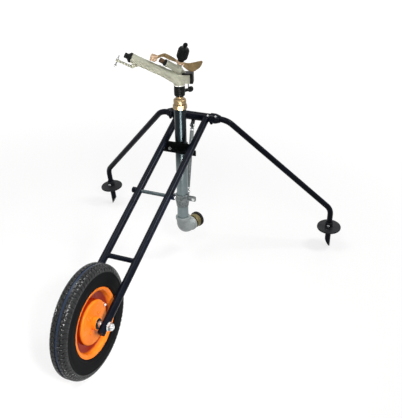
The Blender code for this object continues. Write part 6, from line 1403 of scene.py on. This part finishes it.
# Head casting: curved inlet, barrel, spreader branch, pivot web, trip housing and jet-screw bracket
casting = {"low": 0.7235, "centre": 0.7407, "bend": 0.024, "cup": 0.0203, "barrel": 0.0162, "end": 0.1795,
           "collar": 0.0172, "collarLong": 0.010, "rise": 24.2, "spreaderStart": 0.024, "spreaderUp": 0.0318,
           "spreaderRise": 3.9, "spreader": 0.0118, "spreaderLong": 0.0385, "web": 0.0050, "boxBack": -0.0455,
           "boxFront": 0.005, "boxHalf": 0.0165, "boxLow": 0.7302, "boxTop": 0.7615, "wall": 0.003,
           "grain": 0.00074, "soften": 9}


def barrelPoint(along, above=0.0):
    rise = radians(casting["rise"])
    return Vector((along * cos(rise) - above * sin(rise), 0, casting["centre"] + along * sin(rise) + above * cos(rise)))


def armPoint(ahead, above):
    tilt = radians(17.5)
    return Vector((-0.0052 + ahead * cos(tilt) - above * sin(tilt), 0, 0.8010 + ahead * sin(tilt) + above * cos(tilt)))


spreaderPlace = (moved(casting["spreaderStart"], 0, casting["spreaderUp"])
                 @ turned(-casting["spreaderRise"], "Y") @ alongX)
barrelFrame = moved(0, 0, casting["centre"]) @ turned(-casting["rise"], "Y")
armFrame = moved(-0.0052, 0, 0.8010) @ turned(-17.5, "Y")


def makeCasting():
    piece = bmesh.new()
    path = bentPath([Vector((0, 0, casting["low"])), Vector((0, 0, casting["centre"])), barrelPoint(casting["end"])],
                    casting["bend"], 14)
    path = [path[0], path[0] + Vector((0, 0, 0.0012))] + path[1:-1]
    radii = [casting["cup"] - 0.0006] + [casting["cup"]] * (len(path) - 1)
    collar = casting["end"] - casting["collarLong"]
    for spot, size in ((0.028, 0.0195), (0.040, 0.0176), (0.052, 0.0166), (0.064, casting["barrel"]),
                       (collar - 0.005, casting["barrel"]), (collar - 0.001, casting["collar"] - 0.0002),
                       (collar + 0.001, casting["collar"]), (casting["end"], casting["collar"])):
        path.append(barrelPoint(spot))
        radii.append(size)
    addPart(piece, pulled(path, radii, side=(0, 1, 0), sides=64))
    tube = rod(casting["spreader"], -0.020, casting["spreaderLong"], 0.0006, 48)
    addPart(piece, tube, barrelFrame @ spreaderPlace)
    addPart(piece, rod(casting["spreader"] + 0.0007, casting["spreaderLong"] - 0.0055, casting["spreaderLong"], 0.0006,
                       48),
            barrelFrame @ spreaderPlace)
    boss, fore = armPoint(-0.0057, -0.0144), armPoint(0.0057, -0.0127)
    web = [(casting["boxBack"] * 0.62, casting["boxTop"] - 0.006), (casting["boxBack"] * 0.62, casting["boxTop"]),
           (boss.x, boss.z), (fore.x, fore.z), (barrelPoint(0.030, 0.0318).x, barrelPoint(0.024, 0.0318).z),
           (barrelPoint(0.044, 0).x, barrelPoint(0.044, 0).z)]
    addPart(piece, slab(web, -casting["web"], casting["web"], "Y", 0))
    back, front, half, wall = casting["boxBack"], casting["boxFront"], casting["boxHalf"], casting["wall"]
    low, top = casting["boxLow"], casting["boxTop"]
    slot = {"back": -0.0345, "front": -0.0285, "half": 0.00757}
    walls = [((back, -half, low), (front, -half + wall, top)), ((back, half - wall, low), (front, half, top)),
             ((back, -half, top - wall), (front, half, top)), ((back, -half, low), (slot["back"], half, low + wall)),
             ((slot["front"], -half, low), (front, half, low + wall)),
             ((back, -half, low), (front, -slot["half"], low + wall)),
             ((back, slot["half"], low), (front, half, low + wall)), ((-0.0126, -half, low), (front, half, top))]
    for corners in walls:
        addPart(piece, block(*corners, round=0))
    for side in (-1, 1):                   # a raised panel frame stiffens each side of the housing
        outer = [(-0.0425, low + 0.0035), (-0.0125, low + 0.0035), (-0.0125, top - 0.0035), (-0.0425, top - 0.0035)]
        for a, b in zip(outer, outer[1:] + outer[:1]):
            x0, x1 = sorted((a[0], b[0]))
            z0, z1 = sorted((a[1], b[1]))
            y0, y1 = sorted((side * (half - 0.001), side * (half + 0.0007)))
            addPart(piece, block((x0 - 0.0008, y0, z0 - 0.0008), (x1 + 0.0008, y1, z1 + 0.0008), 0))
    bracket = [(0.140, -0.0105), (0.1640, -0.0330), (0.2225, -0.0325), (0.2225, -0.0255), (0.1725, -0.0250),
               (0.1680, -0.0122)]
    addPart(piece, slab(bracket, -0.0036, 0.0036, "Y", 0), barrelFrame)
    addPart(piece, rod(0.0053, -0.0337, -0.0235, 0.0006, 40), barrelFrame @ moved(0.2225, 0, 0))
    addPart(piece, rod(0.0095, -0.0223, -0.0115, 0.0006, 48), armFrame)
    addPart(piece, lathe([(0, -0.0053), (0.0072, -0.0053, 0.0006), (0.0092, -0.0115), (0.0092, -0.0130), (0, -0.0130)],
                         48),
            armFrame)
    rib = [(0.052, 0.0150), (0.060, 0.0190), (0.082, 0.0188),
           (0.090, 0.0150)]    # a low rib under the spreader's outlet
    addPart(piece, slab(rib, -0.0022, 0.0022, "Y", 0), barrelFrame)
    skin = castSkin(piece, casting["grain"], casting["soften"])
    finishPiece("headCasting", joined((skin, headPlace)), "paleCasting", "head", ("head_body",), sharp=60)


def makeSeal():
    finishPiece("sealRing", joined((ring(0.0113, 0.0199, 0.7197, 0.7233, 0.0009, 96), headPlace)), "nylon", "head",
                ("seal_ring",))


nozzle = {"end": 0.1795, "bore": 0.0062, "flange": 0.0177}


def makeNozzles():
    start, flange = nozzle["end"], nozzle["flange"]
    outline = [(nozzle["bore"], start - 0.0138), (0.0124, start - 0.0138), (0.0124, start + 0.0003),
               (flange - 0.0006, start + 0.0003, 0.0004), (flange, start + 0.0012, 0.0005),
               (flange, start + 0.0066, 0.0008), (flange - 0.0024, start + 0.0092, 0.0012),
               (0.0118, start + 0.0120, 0.0018), (0.0096, start + 0.0152, 0.0016), (0.0090, start + 0.0190, 0.0010),
               (0.0098, start + 0.0206, 0.0008), (0.0098, start + 0.0248, 0.0014), (0.0078, start + 0.0267, 0.0006),
               (nozzle["bore"], start + 0.0267, 0.0005)]
    part = lathe(outline, 96, closed=True)
    finishPiece("mainNozzle",
                joined((flutePart(part, 24, 0.0006, start + 0.0018, start + 0.0060, 2.0),
                        headPlace @ barrelFrame @ alongX)), "blackPlastic", "head", ("main_nozzle",))
    low, high = 0.0388, 0.0473
    part = hexBar(0.0215, low, high)
    rounded(part, part.edges[:], 0.0009)
    finishPiece("spreaderNut", joined((part, headPlace @ barrelFrame @ spreaderPlace),
                                      (ring(0.0092, 0.0112, low, high + 0.0004, 0.0004, 48),
                                       headPlace @ barrelFrame @ spreaderPlace)), "blackPlastic", "head",
                ("spreader_nozzle_nut",))
    outline = [(0.0035, 0.0300), (0.0060, 0.0300), (0.0060, 0.0476), (0.0088, 0.0476, 0.0004), (0.0088, 0.0536, 0.0006),
               (0.0080, 0.0546, 0.0004), (0.0080, 0.0556, 0.0004), (0.0087, 0.0566, 0.0004), (0.0087, 0.0618, 0.0008),
               (0.0072, 0.0660, 0.0008), (0.0048, 0.0660, 0.0004), (0.0035, 0.0640)]
    finishPiece("spreaderTip", joined((lathe(outline, 64, closed=True), headPlace @ barrelFrame @ spreaderPlace)),
                "darkBronze", "head", ("spreader_tip",))


jetScrew = {"along": 0.2225, "tip": -0.0088, "end": -0.0538, "radius": 0.0024, "head": 0.0046, "headHigh": 0.0086,
            "pitch": 0.0011}


def makeJetScrew():
    piece = bmesh.new()
    place = headPlace @ barrelFrame @ moved(jetScrew["along"], 0, 0)
    tip, end, radius = jetScrew["tip"], jetScrew["end"] + jetScrew["headHigh"], jetScrew["radius"]
    outline = [(0, tip), (radius * 0.55, tip, 0.0003), (radius, tip - 0.0022)]
    count = int((tip - 0.0024 - end) / jetScrew["pitch"] * 2)
    outline += [(radius * (0.80 if i % 2 else 1.0), tip - 0.0024 - i * jetScrew["pitch"] / 2) for i in range(count)]
    outline += [(radius, end + 0.0002), (radius, end - 0.002), (0, end - 0.002)]
    addPart(piece, lathe(outline, 24), place)
    head = lathe([(0, end), (jetScrew["head"] - 0.0004, end, 0.0004), (jetScrew["head"], end - 0.0010, 0.0003),
                  (jetScrew["head"], jetScrew["end"] + 0.0010, 0.0003),
                  (jetScrew["head"] - 0.0008, jetScrew["end"], 0.0004), (0, jetScrew["end"])], 72)
    addPart(piece, flutePart(head, 24, 0.0004, jetScrew["end"] + 0.0006, end - 0.0006), place)
    finishPiece("jetScrew", piece, "dullSteel", "jet_screw", ("jet_breaker_screw",))
    nut = bmesh.new()
    hexHead(nut, 0.0086, 0.0036, place @ moved(0, 0, -0.0232))
    finishPiece("jetLockNut", nut, "zincSteel", "head")


# Drive arm with its boss, curved deflector and upswept counterweight
driveArm = {"half": 0.0030, "boss": 0.0130, "bossLow": -0.0050, "bossTop": 0.0048, "grain": 0.0005, "soften": 5}


def makeArm():
    piece = bmesh.new()
    beam = [(0.0098, 0.0046), (0.0250, 0.0085), (0.0357, 0.0113), (0.0480, 0.0134), (0.0571, 0.0143), (0.0610, 0.0136),
            (0.0655, 0.0112), (0.0745, 0.0045), (0.0830, -0.0025), (0.0830, -0.0140), (0.0780, -0.0120),
            (0.0735, -0.0065), (0.0672, -0.0010), (0.0585, 0.0010), (0.0488, -0.0010), (0.0393, -0.0028),
            (0.0117, -0.0030), (-0.0101, -0.0048), (-0.0125, -0.0098), (-0.0250, -0.0150), (-0.0360, -0.0188),
            (-0.0442, -0.0201), (-0.0500, -0.0186), (-0.0560, -0.0135), (-0.0604, -0.0084), (-0.0655, -0.0020),
            (-0.0700, 0.0050), (-0.0730, 0.0140), (-0.0737, 0.0240), (-0.0722, 0.0283), (-0.0678, 0.0290),
            (-0.0580, 0.0236), (-0.0486, 0.0176), (-0.0380, 0.0116), (-0.0280, 0.0066), (-0.0190, 0.0046),
            (-0.0098, 0.0046)]
    addPart(piece, slab(beam, -driveArm["half"], driveArm["half"], "Y", 0))
    addPart(piece, lathe([(0.0044, driveArm["bossTop"]), (driveArm["boss"] - 0.001, driveArm["bossTop"]),
                          (driveArm["boss"], driveArm["bossTop"] - 0.001),
                          (driveArm["boss"], driveArm["bossLow"] + 0.001),
                          (driveArm["boss"] - 0.001, driveArm["bossLow"]), (0.0044, driveArm["bossLow"])], 64,
                         closed=True))
    fin = [(-0.0383, -0.0173), (-0.0442, -0.0195), (-0.0604, -0.0080), (-0.0696, 0.0047), (-0.0730, 0.0246),
           (-0.0678, 0.0287), (-0.0486, 0.0135), (-0.0369, 0.0035)]
    addPart(piece, slab(fin, -0.0036, 0.0036, "Y", 0))
    for side in (-1, 1):                   # two vanes guide the jet, tied by a floor, a cross wall and a rib
        vane = [(0.0792, -0.0040), (0.0830, -0.0022), (0.1020, -0.0022), (0.1038, -0.0050), (0.1038, -0.0215),
                (0.1015, -0.0242), (0.0860, -0.0242), (0.0792, -0.0200)]
        low, high = sorted((side * 0.0048, side * 0.0084))
        addPart(piece, slab(vane, low, high, "Y", 0))
    addPart(piece, block((0.0792, -0.0075, -0.0135), (0.1036, 0.0075, -0.0100), 0))
    addPart(piece, block((0.0985, -0.0075, -0.0238), (0.1036, 0.0075, -0.0030), 0))
    addPart(piece, block((0.0792, -0.0075, -0.0150), (0.0840, 0.0075, -0.0022), 0))
    for along in (0.0868, 0.0958):         # upright ribs on the outer faces of the vanes
        addPart(piece, block((along - 0.0011, -0.0092, -0.0225), (along + 0.0011, 0.0092, -0.0040), 0))
    skin = castSkin(piece, driveArm["grain"], driveArm["soften"])
    finishPiece("driveArm", joined((skin, armPlace)), "bronze", "arm", ("drive_arm",), sharp=60)


# Spring cap, tension knob and the parts inside
cap = {"neck": 0.0108, "wide": 0.0199, "flutes": 16}


def makeCap():
    outline = [(0.0088, 0.0062), (cap["neck"], 0.0060, 0.0004), (0.0122, 0.0100, 0.0014), (0.0134, 0.0118, 0.0006),
               (0.0164, 0.0142, 0.0014), (0.0191, 0.0188, 0.0024), (cap["wide"], 0.0236, 0.0024),
               (cap["wide"], 0.0452, 0.0010), (0.0191, 0.0482, 0.0008), (0.0166, 0.0528, 0.0008),
               (0.0150, 0.0548, 0.0006),
               (0.0128, 0.0560, 0.0005), (0.0034, 0.0560), (0.0034, 0.0486), (0.0100, 0.0486), (0.0170, 0.0430),
               (0.0170, 0.0300), (0.0088, 0.0170)]
    part = lathe(outline, 160, closed=True)
    # shallow grip panels round the widest part
    pressPart(part, 0.0009, 0.0200, 0.0475, lambda turn: 1 - abs(cos(turn * cap["flutes"] / 2)), 0.0176)
    finishPiece("springCap", joined((part, armPlace)), "capPlastic", "head", ("spring_cap",), sharp=32)
    knob = bmesh.new()
    addPart(knob, lathe([(0, 0.0483), (0.0030, 0.0483), (0.0030, 0.0562), (0.0046, 0.0563, 0.0003), (0.0046, 0.0586),
                         (0, 0.0590)], 40), armPlace)
    ball = [(0.0576, 0.0046, 0.0046, 2), (0.0588, 0.0070, 0.0058, 2.2), (0.0608, 0.0086, 0.0058, 2.4),
            (0.0638, 0.0090, 0.0048, 2.6), (0.0668, 0.0086, 0.0040, 2.6), (0.0694, 0.0070, 0.0034, 2.4),
            (0.0711, 0.0048, 0.0026, 2.2), (0.0719, 0.0022, 0.0016, 2)]
    addPart(knob, loft(ball, 40), armPlace @ turned(35, "Z"))
    finishPiece("tensionKnob", knob, "capPlastic", "knob", ("tension_knob",))
    finishPiece("armSpring", joined((coil(0.0072, 0.0016, 0.0067, 0.0420, 6, 36, 12), armPlace)), "zincSteel", "head",
                ("arm_spring",))


# Trip lever through the housing's floor, and the rounded black cover over its back
trip = {"pivot": 0.7470, "x": -0.0315, "half": 0.0015, "wide": 0.0025, "low": 0.7008, "top": 0.7530, "hub": 0.0042}


def makeTrip():
    piece = bmesh.new()
    x, wide = trip["x"], trip["wide"]
    bar = [(wide, trip["top"] - 0.002), (wide * 0.5, trip["top"]), (-wide * 0.5, trip["top"]),
           (-wide, trip["top"] - 0.002),
           (-wide, 0.7080), (-wide * 0.9, trip["low"] + 0.0016), (-wide * 0.4, trip["low"]), (wide * 0.4, trip["low"]),
           (wide * 0.9, trip["low"] + 0.0016), (wide, 0.7080)]
    addPart(piece, slab(bar, x - trip["half"], x + trip["half"], "X", 0.0004), headPlace)
    turn = headPlace @ moved(0, 0, trip["pivot"]) @ alongX
    addPart(piece, rod(trip["hub"], x - 0.0035, x + 0.0035, 0.0006, 40), turn)
    addPart(piece, rod(0.0020, -0.0457, -0.0087, 0.0004, 24), turn)
    finishPiece("tripLever", piece, "blackPlastic", "lever", ("trip_lever",))
    top, thick, back, low = 0.7618, 0.0045, -0.0461, 0.7302
    corner = [(back - thick + 0.0045 - 0.0045 * sin(pi / 2 * i / 8),
               top + thick - 0.0045 + 0.0045 * cos(pi / 2 * i / 8))
              for i in range(9)]
    outline = [(-0.0100, top), (-0.0112, top + 0.0022), (-0.0140, top + thick - 0.0004)] + corner
    skirt = back + 0.0070                  # the cover's skirt wraps the housing's rear corners
    outline += [(back - thick, low + 0.0012), (back - thick + 0.0012, low), (skirt, low), (skirt, top)]
    part = slab(outline, -0.018, 0.018, "Y", 0.0014)
    finishPiece("tripCover", joined((part, headPlace)), "glossyBlack", "head", ("trip_cover",))


makeCasting()
makeSeal()
makeNozzles()
makeJetScrew()
makeArm()
makeCap()
makeTrip()
for node, look in (("inlet_tube", "brass"), ("arm_pivot_pin", "zincSteel")):
    keepNode(node, look)
print("head made")

print("pieces:", len(pieces))
